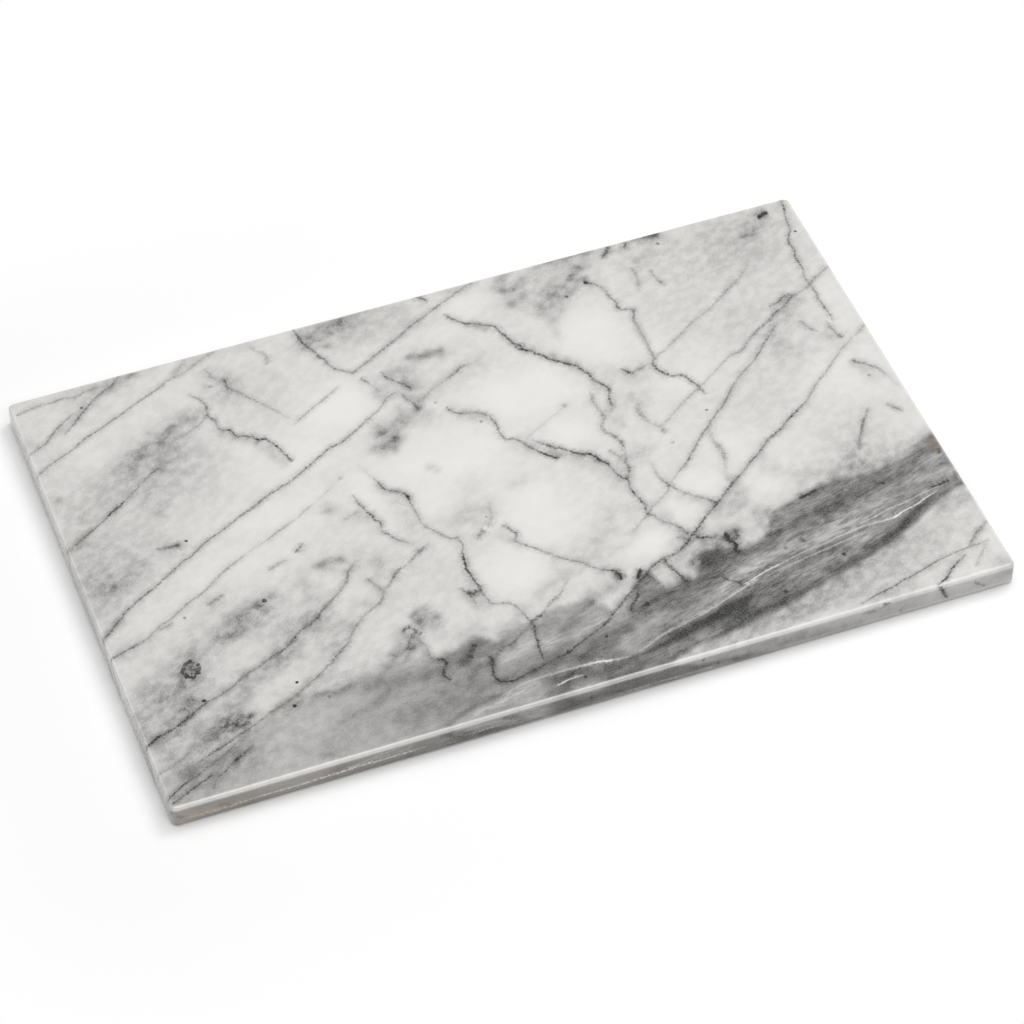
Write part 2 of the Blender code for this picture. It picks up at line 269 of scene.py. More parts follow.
    (0.8, ((72, -71, 30), (75, -72, 30), (77, -74.5, 30))),
    (0.8, ((22, 24, 10), (30, 29, 12), (40, 34.5, 12), (50, 40, 12), (56, 44, 4))),
    # Middle right
    (1.3, ((90, 29, 25), (88, 26, 25), (87.5, 22, 35), (88.5, 18, 35), (90, 14, 20), (91, 12, 10),
        (94.5, 7, 35), (95, 5, 35), (93.8, 3, 25))),
    (0.7, ((96, 9, 10), (100, 11.5, 20), (110, 19, 25), (120, 25.5, 25), (130, 31.5, 20), (142, 40, 25),
        (150, 45, 25), (157, 46.5, 35), (163, 52, 30))),
    (0.6, ((52, -59, 12), (56, -56, 20), (60, -53, 25), (68, -46.5, 25), (76, -41, 20), (80, -38, 25),
        (84, -32.5, 20), (88, -29.5, 22), (92, -26, 35), (95, -24, 40), (98, -21.5, 45),
        (99.5, -19.8, 60), (102, -17, 40), (106, -13, 45), (110, -8.5, 40), (114, -4.5, 45),
        (118, -1, 45), (125, 5.5, 40), (130, 9.5, 40), (133, 12.5, 45), (136, 15.5, 55), (139, 19.5, 50),
        (143, 23.5, 35), (151, 30.5, 32), (155, 33, 30), (160, 36.5, 25), (164, 40, 50), (168, 44.5, 40),
        (172, 48.5, 45), (176, 52, 35), (182, 58, 15))),
    (0.9, ((80, -15, 10), (79.3, -22, 20), (79.8, -27, 25), (81, -31, 40), (83, -35, 55),
        (85, -38.5, 35), (88, -42.5, 30), (92, -46.5, 30), (96, -49.5, 35), (99, -52.5, 40),
        (100.8, -56, 70))),
    (1.2, ((120.5, 3, 15), (119, -2, 15), (117, -7, 25), (116.5, -12, 15), (117.5, -17, 30),
        (118, -21, 30), (117.5, -25, 30), (116, -30, 15), (114, -36, 12), (112, -42, 10))),
    (0.65, ((233, 46, 30), (228, 41.5, 30), (225, 39, 30), (221, 36, 25), (217, 34, 15), (213, 31, 30),
        (208, 27.5, 25), (203, 23, 25), (198, 19, 30), (193, 14, 30), (188, 10.5, 35), (183, 6, 35),
        (178, 1, 30), (174, -3, 40), (170, -5.5, 50), (166, -8, 65), (163, -9.8, 70), (160, -12, 50),
        (155, -16, 50), (150, -19, 65), (144, -22, 60), (139, -26.5, 50), (135, -30, 50), (130, -33, 60),
        (127, -35.5, 50), (123, -39, 35), (118, -42.5, 50), (114, -45, 80), (110, -48.5, 60),
        (105, -52.5, 45), (100.8, -56, 85), (97, -59, 60), (92, -62.5, 55), (88, -66, 65),
        (84, -69.5, 70), (81, -71, 75), (79, -73.5, 80), (77, -75.5, 90), (73.5, -78, 70), (70, -80, 50),
        (66, -82, 55), (62, -82, 40), (58, -83, 50), (54, -85, 60), (50, -87.5, 60), (47, -90.5, 80),
        (44, -92, 70), (41, -94.5, 60), (38, -97, 65), (34, -99.5, 65), (31, -102, 55), (27, -105.5, 60),
        (20, -110.5, 65), (15, -114.5, 70), (10, -117, 60), (5, -119, 60), (0, -121.5, 55),
        (-5, -123.5, 60), (-9, -126, 80), (-20, -128.5, 50), (-30, -131, 55), (-38, -133, 75),
        (-42, -134, 80), (-45, -133, 80), (-48, -131.5, 90), (-49.8, -128.5, 80), (-49.5, -125, 75),
        (-48.3, -121, 85), (-47, -117, 85), (-47.3, -113, 60))),
    (0.95, ((46.5, -85, 75), (45.5, -86, 97), (44.5, -88, 97), (43, -90.3, 97), (42, -91.5, 85))),
    (0.9, ((203.5, -18.5, 20), (201.5, -22, 35), (199, -25, 30), (196.5, -28, 55), (195, -31, 50),
        (192, -35.5, 40), (190, -38.5, 30), (188, -42, 50), (186.8, -45.5, 50), (186.5, -47, 25))),
    (0.9, ((210, 19, 35), (211, 16, 60), (212.5, 14.5, 45), (215, 13, 35), (218, 9.5, 40), (221, 6, 30),
        (222, 2, 20), (223.5, -3, 12), (225.5, -10, 8))),
    (0.9, ((213.5, -20, 20), (215.5, -23, 35), (218, -26, 35), (219.5, -28, 15))),
    # Front
    (0.7, ((-232, -111, 60), (-227, -108.5, 75), (-224, -106.5, 85), (-221, -105, 90),
        (-216, -103.5, 65), (-212, -102.5, 60), (-208, -100.5, 70), (-206.5, -99.5, 60),
        (-204, -98.5, 50), (-201, -97, 60), (-197, -94.5, 45), (-193, -92.5, 50), (-190.5, -91, 55),
        (-185, -90, 35), (-180, -88, 40), (-175, -85.5, 45), (-170, -82.5, 45), (-165, -80, 40),
        (-160, -78.3, 40))),
    (0.6, ((-232, -130, 35), (-227, -128, 35), (-221, -126, 25), (-216, -124, 30), (-210, -121, 20),
        (-207, -120, 8))),
    (0.55, ((-229, -146, 50), (-226.5, -144.5, 70), (-223, -142.5, 60), (-220, -140.5, 65),
        (-217, -138.5, 60), (-213, -137, 45), (-208, -135, 35), (-203, -132, 30), (-198, -130, 30),
        (-190, -126, 30), (-185, -122, 35))),
    (0.5, ((-210, -129, 15), (-205, -127, 30), (-200, -125, 50), (-195, -123, 60), (-190, -121.5, 60),
        (-185, -119, 50), (-180, -117.3, 50), (-175, -115.3, 45), (-170, -113, 40), (-165, -110.5, 40))),
    (0.5, ((-227.5, -149.3, 60), (-226, -148.5, 80), (-222, -147, 60), (-217, -144.5, 70),
        (-212, -142, 65), (-208, -140.5, 65), (-204, -138.5, 70), (-202, -137.5, 40))),
    (0.6, ((-205, -147, 35), (-203, -144.5, 40), (-202, -142, 30), (-199, -140, 40), (-196, -138.5, 45),
        (-194, -136.5, 35), (-191, -134.5, 50), (-188, -132.8, 90), (-185, -131, 70), (-182, -129.5, 50),
        (-177.5, -126.5, 15))),
    (0.9, ((-83, -83.5, 40), (-82, -80.5, 60), (-79.5, -80, 55), (-77.5, -82, 60), (-76, -84.5, 50),
        (-79, -86, 60), (-81, -88, 45), (-83, -91, 40))),
    (0.8, ((-78, -89, 12), (-76, -93, 22), (-74.5, -96, 20), (-75.5, -100, 22), (-75.5, -104, 35),
        (-73, -106, 60), (-70.5, -107, 70), (-69, -109.5, 85), (-70, -112, 70), (-72.5, -114, 75),
        (-73.3, -117, 85), (-72.5, -120, 75), (-70.8, -122, 60))),
    (0.8, ((40.5, -96, 40), (39.5, -98, 50), (38.5, -101, 60), (36, -104.5, 60), (33, -107, 70),
        (31.5, -109.5, 85), (31, -111.5, 70))),
    (0.8, ((60.5, -82.5, 60), (60.5, -86, 60), (61, -89.5, 80), (62.5, -93, 55), (63.5, -96, 60),
        (64, -99, 75), (65, -101.5, 75), (67, -102.5, 70))),
    (1.15, ((96.2, -76.5, 80), (97, -79, 98), (96.5, -81.5, 100), (97, -83.5, 90), (98.5, -85, 95),
        (98.7, -87.5, 100), (97.5, -89.5, 90), (96.8, -91, 95), (98.5, -92.5, 80))),
    (0.6, ((102.8, -76.5, 40), (102.5, -79, 55), (102, -81, 65), (102.7, -82.5, 60))),
    (0.8, ((81, -71.5, 60), (82, -74.5, 80), (84, -76.5, 75), (86.5, -76, 60), (88, -77.5, 50),
        (94, -77, 25))),
    (0.9, ((33.2, -81.5, 60), (34.3, -84, 85), (34.8, -86, 97), (34.5, -88.5, 97))),
    (0.7, ((84, -105.5, 50), (85, -108, 55), (87, -110, 40), (89.5, -111.5, 60), (90.5, -113, 70),
        (91.5, -115, 80))),
    (0.9, ((143, -67.8, 85), (146, -67.5, 95), (148.5, -67, 100), (150, -66.3, 95), (152.5, -66, 95),
        (153.5, -67, 80))),
    (0.8, ((211, -86, 70), (216, -85.3, 90), (221, -84.5, 85))),
    (0.7, ((222, -89.3, 30), (226, -89, 55), (232, -89.5, 85))),
    (0.9, ((225.8, -61, 80), (225.3, -62.5, 90), (224.3, -64.5, 85))),
    (0.7, ((131.5, -94.5, 50), (132.5, -97, 60), (133, -98.5, 50))),
    (0.45, ((143, -149, 25), (148, -147.5, 40), (153, -146, 50), (158, -145, 60), (164, -143.5, 45),
        (170, -141.5, 50), (175, -140.5, 60), (180, -139, 55), (190, -136, 50), (195, -134.8, 45),
        (200, -133.7, 40), (212, -132.3, 35), (218, -132, 35), (223, -131, 20))),
    (0.6, ((184, -152, 40), (187.5, -150, 60), (189, -149.3, 70), (191, -148.5, 80), (193, -146.5, 60),
        (196, -143.5, 70), (199, -141.3, 75), (200.5, -140.5, 50), (204, -138.5, 35),
        (207.5, -136.5, 25))),
    (0.7, ((211.5, -132, 30), (214, -129, 45), (217, -126, 35), (220, -123.5, 50), (222, -122.5, 45),
        (225, -120.5, 20), (228, -118.5, 15))),
    (0.8, ((208.5, -147, 20), (210, -144.5, 20), (217, -137, 20), (220, -133, 12))),
)

# Soft dark streaks along the grey band: (x, y, reach in mm, darkness in percent) along each
BAND_STREAKS = (
    ((18, -141, 1.0, 50), (26, -140.5, 1.6, 80), (34, -138.8, 2.0, 88), (42, -137, 2.4, 92),
        (50, -135, 3.0, 95), (60, -132.5, 3.4, 97), (70, -130, 3.4, 97), (78, -128, 3.6, 98),
        (86, -125.5, 3.2, 92), (92, -123.5, 2.0, 60)),
    ((52, -143.5, 1.0, 22), (60, -142.5, 1.5, 30), (72, -140.5, 1.8, 50), (80, -138.5, 2.0, 55),
        (88, -136.5, 2.2, 55), (96, -134.5, 2.4, 55), (104, -132.3, 2.4, 60), (112, -130, 2.6, 60),
        (120, -128, 2.6, 55), (128, -126, 2.6, 50), (136, -123.5, 2.6, 52), (144, -121.3, 2.4, 58),
        (152, -119.3, 2.4, 58), (160, -116.7, 2.4, 58), (168, -113.7, 2.6, 64), (176, -110.3, 2.8, 70),
        (184, -105.7, 3.2, 78), (192, -101.5, 3.4, 76), (200, -96.5, 3.2, 68), (208, -93, 2.4, 40),
        (216, -89.5, 2.0, 28), (224, -85, 1.5, 28)),
)

# Pale hairlines in the band: (x, y, half width in mm, strength in percent) along each
PALE_LINES = (
    ((91.5, -114.5, 0.35, 55), (97, -113, 0.4, 78), (103, -111, 0.4, 78), (108, -109.5, 0.4, 78),
        (113, -108.5, 0.45, 70), (118, -107.3, 0.45, 42), (130, -104.5, 0.5, 34), (140, -103.2, 0.5, 34),
        (150, -101.3, 0.5, 38), (160, -99.5, 0.5, 38), (170, -98.8, 0.45, 40), (180, -99, 0.4, 60),
        (184.5, -98.5, 0.55, 92), (187, -97.5, 0.5, 90), (190, -96.3, 0.4, 80), (195, -95.2, 0.35, 72),
        (199, -94.2, 0.4, 80), (203, -92.5, 0.4, 80), (207, -91, 0.35, 60), (213, -89, 0.3, 20)),
    ((24, -138, 0.5, 20), (30, -136, 0.5, 30), (40, -132, 0.6, 32), (50, -129.5, 0.6, 32),
        (60, -127, 0.6, 32), (70, -124, 0.6, 38), (80, -120.5, 0.6, 42), (90, -117, 0.6, 45),
        (100, -114, 0.5, 30)),
    ((-50, -141, 0.6, 20), (-35, -137, 0.8, 26), (-15, -136.5, 0.7, 32), (-2, -137, 0.7, 60),
        (3, -137.2, 0.7, 88), (8, -138.5, 0.7, 84), (13, -139, 0.5, 45), (20, -139.7, 0.4, 20)),
    ((-66, -147, 0.5, 25), (-52, -144.5, 0.5, 32), (-38, -141.5, 0.5, 25)),
    ((196, -66.5, 0.5, 8), (205, -63.5, 0.5, 10), (216, -60, 0.5, 8)),
)
# Fainter hairlines beside them, in the same measures
FAINT_PALE_LINES = (
    ((30, -134.5, 0.4, 15), (45, -130, 0.4, 22), (60, -125.5, 0.4, 22), (75, -121, 0.4, 18)),
    ((112, -112, 0.4, 25), (125, -109.5, 0.5, 32), (140, -107, 0.45, 30), (152, -105, 0.45, 32),
        (165, -103, 0.4, 22)),
    ((165, -96.5, 0.45, 32), (175, -94.5, 0.5, 42), (185, -92, 0.5, 38), (195, -90.5, 0.5, 34),
        (205, -88, 0.5, 28), (215, -86.3, 0.4, 20)),
    ((-23, -144.9, 0.35, 40), (-20, -144.2, 0.35, 70), (-16, -143.2, 0.35, 70), (-12, -142.7, 0.35, 65),
        (-8, -142.7, 0.35, 45)),
)

# Small dark grains: x, y, radius in mm and darkness in percent
GRAINS = (
    (-190.8, -62, 1.4, 92), (-187.5, -65.5, 1.2, 85), (-187.8, -68.6, 1.1, 75), (-189.3, -70.7, 1.5, 92),
    (-192.5, -72.8, 1.2, 88), (-195.3, -71, 1.6, 94), (-196.6, -67.6, 1.1, 70), (-195, -65.2, 1.0, 70),
    (-193.6, -63, 1.2, 80), (-56.5, -110.5, 1.6, 75), (-52, -104, 1.3, 60), (-192, -89.8, 1.1, 97),
    (-144.3, -95, 0.9, 98), (-150.3, -109.5, 1.3, 97), (-191.6, 135, 0.8, 85), (-167.8, 19.7, 0.9, 95),
    (-142.5, -35.5, 1.5, 90), (-184.5, -32.2, 0.9, 50), (-49, 7.8, 1.1, 85), (6, 46.5, 1.0, 50),
    (83.3, 121.3, 1.0, 75), (221.7, 124.3, 0.9, 85), (122, 10.8, 0.9, 55), (213.8, 3.5, 1.2, 35),
    (96, -5.5, 1.2, 30), (-15.5, -21, 0.8, 35), (-121.5, 125.3, 1.5, 30), (188, -74, 1.1, 90),
    (148.5, -113.5, 1.2, 90), (13, -122.5, 1.1, 85), (-7, -144.5, 0.9, 95), (122, -98.5, 1.2, 50),
    (-132, -110, 1.1, 50), (40.4, -109.4, 1.5, 99), (52, 41.5, 1.4, 20), (97.2, 127.9, 1.4, 85),
    (146, 143, 1.2, 50), (-12, 69, 0.9, 30), (-9, -125.5, 1.2, 90), (110, -127, 1.3, 75),
    (-188, -132.8, 1.0, 90),
)

# Soft grey clouds: reach in mm, darkness in percent, then (x, y) along each
CLOUDS = (
    (4, 10, ((-208, 121), (-192, 134))), (2.5, 30, ((-161, 148.5), (-158, 149))),
    (2.5, 20, ((-158, 149), (-146, 151))),
    (8, 24, ((-182, 86), (-170, 91), (-158, 95), (-152, 101), (-146, 106), (-138, 106.5))),
    (3, 30, ((-180, 83), (-168, 92))), (3, 36, ((-160, 94), (-150, 103))),
    (3, 22, ((-143, 107), (-136, 105.5))), (4, 32, ((-165, 76), (-162, 79))),
    (12, 18, ((-212, 55), (-195, 70), (-180, 82))), (3, 18, ((-222.5, 72),)), (8, 18, ((-112, 118),)),
    (8, 25, ((-23, 88),)), (8, 20, ((-22, 98),)), (5, 28, ((-37, 85),)), (4, 20, ((-20, 74),)),
    (3, 38, ((-22.5, 68),)), (6, 18, ((-32, 64),)), (5, 42, ((-46.5, 57), (-40, 52))),
    (3, 40, ((-46, 55.5),)), (3, 45, ((-44, 46.5), (-42, 51))), (4, 35, ((-53, 48), (-43, 50))),
    (2.5, 40, ((-13, 107.5), (-11, 107))), (3.5, 32, ((-7, 106), (-2, 105.5), (4, 105.5))),
    (7, 18, ((-12, 107), (4, 105))), (3, 50, ((-48, 143), (-42, 147), (-36, 150))),
    (6, 32, ((-60, 143),)), (1.5, 30, ((-57, 133), (-52, 132))), (3, 28, ((60, 80), (66, 74), (69, 69))),
    (2.5, 20, ((111, 90), (111, 70))), (4, 28, ((50, 142), (56, 150))),
    (3, 40, ((52, 137.5), (56, 136), (60, 139), (66, 143.5))), (4, 34, ((52, 127), (60, 131))),
    (5, 30, ((77, 127), (84, 131))), (4, 34, ((80, 122), (86, 124))),
    (3, 46, ((90, 134), (93, 138), (97, 141), (102, 140))), (2, 50, ((93, 137),)), (3, 36, ((97, 132),)),
    (3, 28, ((92, 127), (97, 128))), (5, 24, ((66, 117), (72, 122))), (5, 14, ((70, 108),)),
    (3, 24, ((115, 145), (120, 151))), (5, 25, ((194.5, 73), (200, 72.5))),
    (2, 40, ((192, 131), (197, 130.5), (199, 131.5))), (6, 14, ((185, 125), (205, 138))),
    (4, 12, ((200, 136), (208, 143))), (5, 14, ((170, 115), (178, 119))),
    (2, 20, ((130, 134), (135, 136))), (3.5, 40, ((138, 151.5), (147, 151.5))), (2, 20, ((191, 62),)),
    (4, 38, ((-143, -35.5), (-141, -34.5))), (3, 56, ((-147, -38),)),
    (6, 28, ((-150, -37), (-138, -36))), (5, 32, ((-160, -45), (-157, -42))), (8, 26, ((-161, -45),)),
    (3, 50, ((-167, -51.5),)), (5, 34, ((-214, 3),)), (7, 24, ((-205, 2), (-195, 10))),
    (5, 14, ((-177, 42), (-170, 48))), (3, 42, ((-109, -22.5), (-104, -21), (-97, -22.5))),
    (2.4, 26, ((-178, 18.6), (-172, 18.4))), (3, 26, ((-230, -33), (-216, -23))),
    (5, 22, ((-91, 14.5),)), (3, 14, ((-56, -31.5),)), (7, 17, ((-28, -17), (-14, -16))),
    (4, 14, ((5, -5), (12, -2))), (7, 7, ((-15, 6),)), (3, 20, ((-31, 24), (-28, 21))),
    (2.5, 32, ((-78, -31),)), (3, 20, ((-78, -35),)), (7, 16, ((-90, -25),)),
    (4, 12, ((5, 55), (12, 48))), (3.5, 32, ((33, 12), (36, 8))), (2, 32, ((53, -4),)),
    (6, 11, ((75, 30),)), (1.8, 28, ((76.5, 16),)), (6, 26, ((77, -7),)), (2.5, 20, ((52, 41.5),)),
    (4, 22, ((206, 40),)), (10, 12, ((180, 38),)), (3.4, 52, ((-191.5, -67.5),)),
    (4, 30, ((-191.5, -67.5),)), (2.5, 60, ((-198, -88), (-200.5, -95))), (10, 18, ((-215, -75),)),
    (8, 16, ((-214, -80), (-206, -80))), (6, 20, ((-150, -73), (-121, -57))),
    (5, 40, ((-190, -108), (-183, -106), (-177, -109))), (5, 36, ((-188, -113), (-178, -112))),
    (6, 20, ((-200, -115), (-188, -113))), (5, 28, ((-215, -132),)), (5, 20, ((-188, -129),)),
    (4, 24, ((-145, -145), (-140, -147))),
    (2.5, 28, ((-130, -128), (-120, -125), (-110, -122), (-102, -117))),
    (2, 26, ((-138, -107.5), (-133, -107), (-128, -109))), (1.6, 30, ((-124, -108), (-120, -106.5))),
    (4, 26, ((-112, -112), (-105, -110))),
    (4, 22, ((-140, -76), (-155, -83), (-170, -92), (-182, -101))), (4, 42, ((-80, -88), (-83, -92))),
    (3, 42, ((-83, -93), (-94, -96))), (5, 34, ((-71, -76), (-66, -80))),
    (4, 26, ((-72, -80), (-65, -80))), (7, 40, ((-60, -108), (-50, -104))),
    (2.5, 40, ((-64, -113), (-57, -110))), (2, 34, ((-62, -125), (-54, -118))),
    (3, 34, ((-80, -115), (-76, -113))), (4, 26, ((-97, -116), (-91, -110))), (4, 26, ((-100, -112),)),
    (1.8, 50, ((-82, -149), (-70, -144), (-60, -141.5), (-50, -140))),
    (6, 26, ((-90, -136), (-75, -136))), (3, 34, ((-78, -128),)),
    (4, 47, ((-24, -151), (-16, -146), (-5, -145), (10, -144), (20, -142.5))),
    (3, 55, ((5, -150), (20, -150))), (3, 42, ((-30, -132), (-15, -130.5), (0, -131), (12, -129))),
    (3, 45, ((10, -125), (2, -127))), (2, 36, ((-8, -112), (0, -108), (8, -104))),
    (1.6, 50, ((8, -102), (12, -99.5), (15, -97.5))),
    (2.6, 60, ((74, -90), (79, -89), (85, -87.5), (88, -88))),
    (6, 62, ((77, -93), (83, -92), (88, -90))),
    (1.6, 65, ((38, -110), (42, -109), (48, -107), (55, -106))),
    (2, 40, ((62, -105), (70, -104), (75, -103), (80, -101))), (5, 30, ((60, -108), (75, -107))),
    (2, 60, ((80, -135), (86, -133.5))), (1.6, 40, ((20, -123), (26, -122.5))),
    (2.5, 46, ((112, -92), (118, -90), (124, -87))),
    (3, 42, ((130, -85), (140, -82), (150, -80), (157, -78), (163, -76))),
    (2, 50, ((150, -85), (151, -87))), (2.4, 50, ((170, -72), (175, -71))),
    (4, 28, ((180, -68), (200, -68), (215, -62), (225, -55))), (4, 36, ((165, -62),)),
    (1.6, 55, ((172, -92), (180, -93))), (1.6, 45, ((171, -95.5), (176, -95))),
    (1.8, 35, ((182, -88), (186, -85), (190, -82))), (3, 20, ((120, -113), (135, -109), (150, -106))),
    (5, 34, ((95, -120), (108, -120))), (2.5, 25, ((170, -103), (178, -101))), (3, 34, ((122, -72),)),
    (3, 8, ((176, -129), (163, -141))), (5, 54, ((72, -132), (88, -129.5))),
    (4, 44, ((40, -132), (60, -135))), (6, 28, ((208, -99), (228, -98))),
    (5, 28, ((90, -82), (100, -80))), (6, 19, ((72, -76), (84, -80))), (3.5, 20, ((47, -86), (50, -89))),
    (4, 20, ((40, -106), (30, -116))), (4, 12, ((4, -100), (14, -98))),
    (3.5, 30, ((150, -82), (165, -78), (200, -72))), (3.5, 28, ((108, -112), (122, -109))),
    (3.5, 30, ((130, -108), (144, -105))), (7, 19, ((100, -61), (112, -54))),
    (5, 20, ((112, -60), (116, -44))), (8, 11, ((18, -66), (30, -74))), (4, 26, ((31, -80), (33, -88))),
    (7, 15, ((26, -62), (42, -50))), (6, 15, ((48, 0), (58, -14), (60, -24))),
    (5, 12, ((66, -8), (64, -18))), (8, 10, ((45, -42), (62, -40))), (9, 14, ((150, -54), (225, -52))),
    (6, 16, ((176, -58), (184, -60))), (5, 18, ((180, -52), (182, -42))),
    (5, 12, ((216, -54), (226, -50))), (6, 14, ((98, -143), (112, -144))),
    (5, 9, ((2, -132), (12, -136), (12, -143))), (4, 14, ((198, -82), (206, -80))),
    (6, 32, ((-189, -58), (-192.5, -70), (-195, -77))), (6, 22, ((-199, -62), (-197, -70))),
    (8, 3, ((-180, -48), (-184, -60))), (12, 11, ((-194, -68), (-180, -50), (-165, -32))),
    (6, 30, ((-171, -53), (-158, -51), (-143, -44))), (9, 26, ((-224, 2), (-220, -14))),
    (5, 26, ((-168, -83), (-150, -78), (-138, -76))), (6, 22, ((-122, -82), (-108, -68))),
    (8, 8, ((-132, -56), (-118, -52), (-116, -44))), (6, 14, ((-122, -28), (-118, -42))),
    (5, 10, ((-80, -28), (-80, -40))), (4, 24, ((-102.5, -24.5),)), (3.5, 34, ((-85, -84),)),
    (4, 36, ((-72, -74), (-66, -72))), (5, 10, ((-78, -84), (-66, -87))),
    (5, 12, ((-104, -97), (-98, -102))), (6, 16, ((-130, -99), (-110, -101))), (3, 12, ((-138, -96),)),
    (4, 24, ((-37, -102), (-29, -96.5))), (6, 28, ((-226, -98), (-222, -110))),
    (6, 32, ((-214, -103), (-204, -103))), (4, 34, ((-206, -93),)),
    (5, 26, ((-192, -108), (-176, -108))), (6, 24, ((-220, -119), (-205, -119))),
    (5, 24, ((-104, -137), (-98, -144))), (4, 34, ((-83, -114),)),
    (5, 20, ((-68, -128), (-58, -132), (-66, -140))), (4, 56, ((-24, -141), (-10, -139), (-3, -134))),
    (4, 20, ((-42, -70), (-40, -80))), (8, 11, ((-200, 146), (-165, 144))),
    (5, 24, ((-172, 146), (-163, 151))), (4, 18, ((-136, 143), (-125, 149))),
    (7, 20, ((-118, 132), (-112, 127))), (8, 11, ((-120, 116),)), (9, 12, ((-190, 130), (-182, 144))),
    (7, 21, ((-148, 93), (-155, 84))), (3, 20, ((-162, 103),)), (14, 11, ((-178, 60), (-155, 62))),
    (5, 13, ((-170, 66), (-166, 70))), (7, 13, ((-180, 56), (-178, 44))), (5, 14, ((-224, 68),)),
    (10, 19, ((-222, 12), (-212, 4))), (5, 14, ((-168, 17), (-175, 12))),
    (5, 30, ((-66, 137), (-58, 138))), (5, 28, ((-54, 149), (-40, 146))),
    (8, 12, ((-48, 138), (-34, 146))), (5.5, 34, ((-46, 63), (-36, 61))),
    (6, 20, ((-30, 70), (-20, 60))), (8, 12, ((-20, 80), (-12, 78))), (4, 36, ((-50, 45), (-46, 44))),
    (8, 9, ((-36, 92), (-22, 99))), (4, 20, ((-61, 20), (-54, 13), (-49, 6))), (6, 11, ((-92, 14),)),
    (4, 18, ((-77, 5), (-74, 0))), (5, 18, ((-3, 57), (6, 50))), (5, 20, ((126, 148), (142, 151))),
    (4, 34, ((143, 147), (150, 151))), (12, 12, ((128, 136), (148, 140))), (5, 38, ((108, 151),)),
    (5, 28, ((88, 150), (100, 149))), (12, 14, ((175, 138), (208, 142))), (5, 14, ((214, 148),)),
    (8, 9, ((190, 110), (202, 121))), (5, 13, ((56, 126),)), (5, 14, ((74, 114),)),
    (2.5, 22, ((92, 132),)), (8, 10, ((0, 86), (22, 90))), (5, 14, ((47, 97), (53, 87))),
    (4, 14, ((30, 115),)), (5, 10, ((64, 72), (70, 63))), (8, 13, ((76, 58), (100, 50))),
    (4, 16, ((73, 48),)), (8, 18, ((90, 32),)), (6, 13, ((74, 22),)), (5, 15, ((20, 22), (24, 18))),
    (5, 12, ((38, 7), (46, 2))), (5, 19, ((189, 64), (192, 58))), (4, 12, ((178, 46), (186, 54))),
    (5, 19, ((212, 12), (216, 3))), (2.5, 45, ((-60, -114), (-57, -110), (-54, -106), (-50, -101.5))),
    (2.4, 25, ((-47.5, -112), (-47.5, -118))), (4, 22, ((-90, -94), (-80, -92))),
    (3.5, 26, ((-158, -108), (-148, -108))), (3, 14, ((-146, -103.5),)), (3.5, 20, ((-172, -109),)),
    (5, 13, ((-226, -84), (-224, -106))), (5, 22, ((-212, -126), (-200, -120))),
    (4, 16, ((-212, -133), (-200, -136))), (3.5, 24, ((-188, -133), (-181, -130))),
    (3, 24, ((-42, -110), (-38, -106))), (3.5, 30, ((-50, -131), (-24, -129), (-12, -124))),
    (3.5, 34, ((-20, -141), (-6, -140.5))), (4, 34, ((14, -122), (26, -121))),
    (5, 26, ((32, -118), (42, -113), (50, -109))), (5, 26, ((54, -117), (60, -115))),
    (5, 30, ((79, -95), (87, -94))), (4, 40, ((117, -70), (123, -70.5))),
    (4, 12, ((100, -114), (122, -114), (136, -108))),
    (6, 27, ((66, -136), (84, -133), (100, -130), (118, -126), (135, -120))),
    (5, 18, ((130, -112), (150, -111))), (4, 24, ((54, -85), (74, -84))), (5, 12, ((8, -56), (6, -72))),
    (4, 14, ((38, -70), (52, -61))), (5, 18, ((72, -56), (74, -68))), (4, 20, ((103, -58), (106, -64))),
    (4, 14, ((16, -74), (0, -78))), (5, 12, ((136, -26), (138, -48))), (4, 16, ((86, -46), (94, -50))),
    (5, 14, ((-222, -46), (-206, -40))), (5, 16, ((-40, -60), (-36, -76))),
    (4, 18, ((-12, -38), (-6, -46))), (3, 18, ((196, -84), (200, -91))),
    (4, 22, ((-79, -94), (-77, -102))), (4, 8, ((-88, -84), (-85, -90))),
    (6, 12, ((-60, -94), (-44, -94))), (4, 16, ((-24, -93), (-12, -86), (-4, -78))),
    (3, 20, ((-171, -48), (-170, -54))), (3.5, 18, ((-74, -73), (-71, -84))),
    (5, 25, ((16, -93), (26, -93))), (4, 32, ((42, -129), (58, -130))),
    (3, 16, ((148, -124), (162, -121))), (5, 14, ((152, -148), (170, -148))),
    (3, 36, ((178, -59), (185, -59))), (4, 16, ((180, -107), (188, -102))),
    (4, 26, ((80, -72), (85, -71))), (3, 54, ((97, -82), (103, -79))),
    (5, 24, ((220, -148), (230, -147))), (3, 24, ((154, -82), (158, -82))),
    (3, 50, ((70, -131), (78, -129))), (4, 24, ((168, -119), (180, -114))), (3, 26, ((119, -132),)),
    (3, 24, ((130, -87), (142, -86))), (3, 36, ((54, -133), (64, -131.5))),
    (2.5, 34, ((6, -141.5), (20, -141))), (4, 28, ((20, -146), (34, -146))),
    (4, 18, ((180, -84), (188, -82))), (3, 26, ((75, -90),)), (3, 24, ((104, -95), (116, -92.5))),
    (3, 24, ((128, -78), (140, -78))), (3, 18, ((133, -89), (142, -87))),
    (2.5, 26, ((150, -70), (162, -66.5))), (3, 24, ((212, -74), (226, -72.5))),
    (2.5, 18, ((134, -112), (144, -111))), (2.5, 24, ((152, -124.5), (166, -120.5))),
    (2.5, 20, ((140, -128), (150, -125.5))), (3, 26, ((12, -124.5), (22, -123))),
    (4, 16, ((0, -136), (10, -137))), (4, 20, ((56, -118), (64, -117))), (3, 18, ((28, -90), (37, -87))),
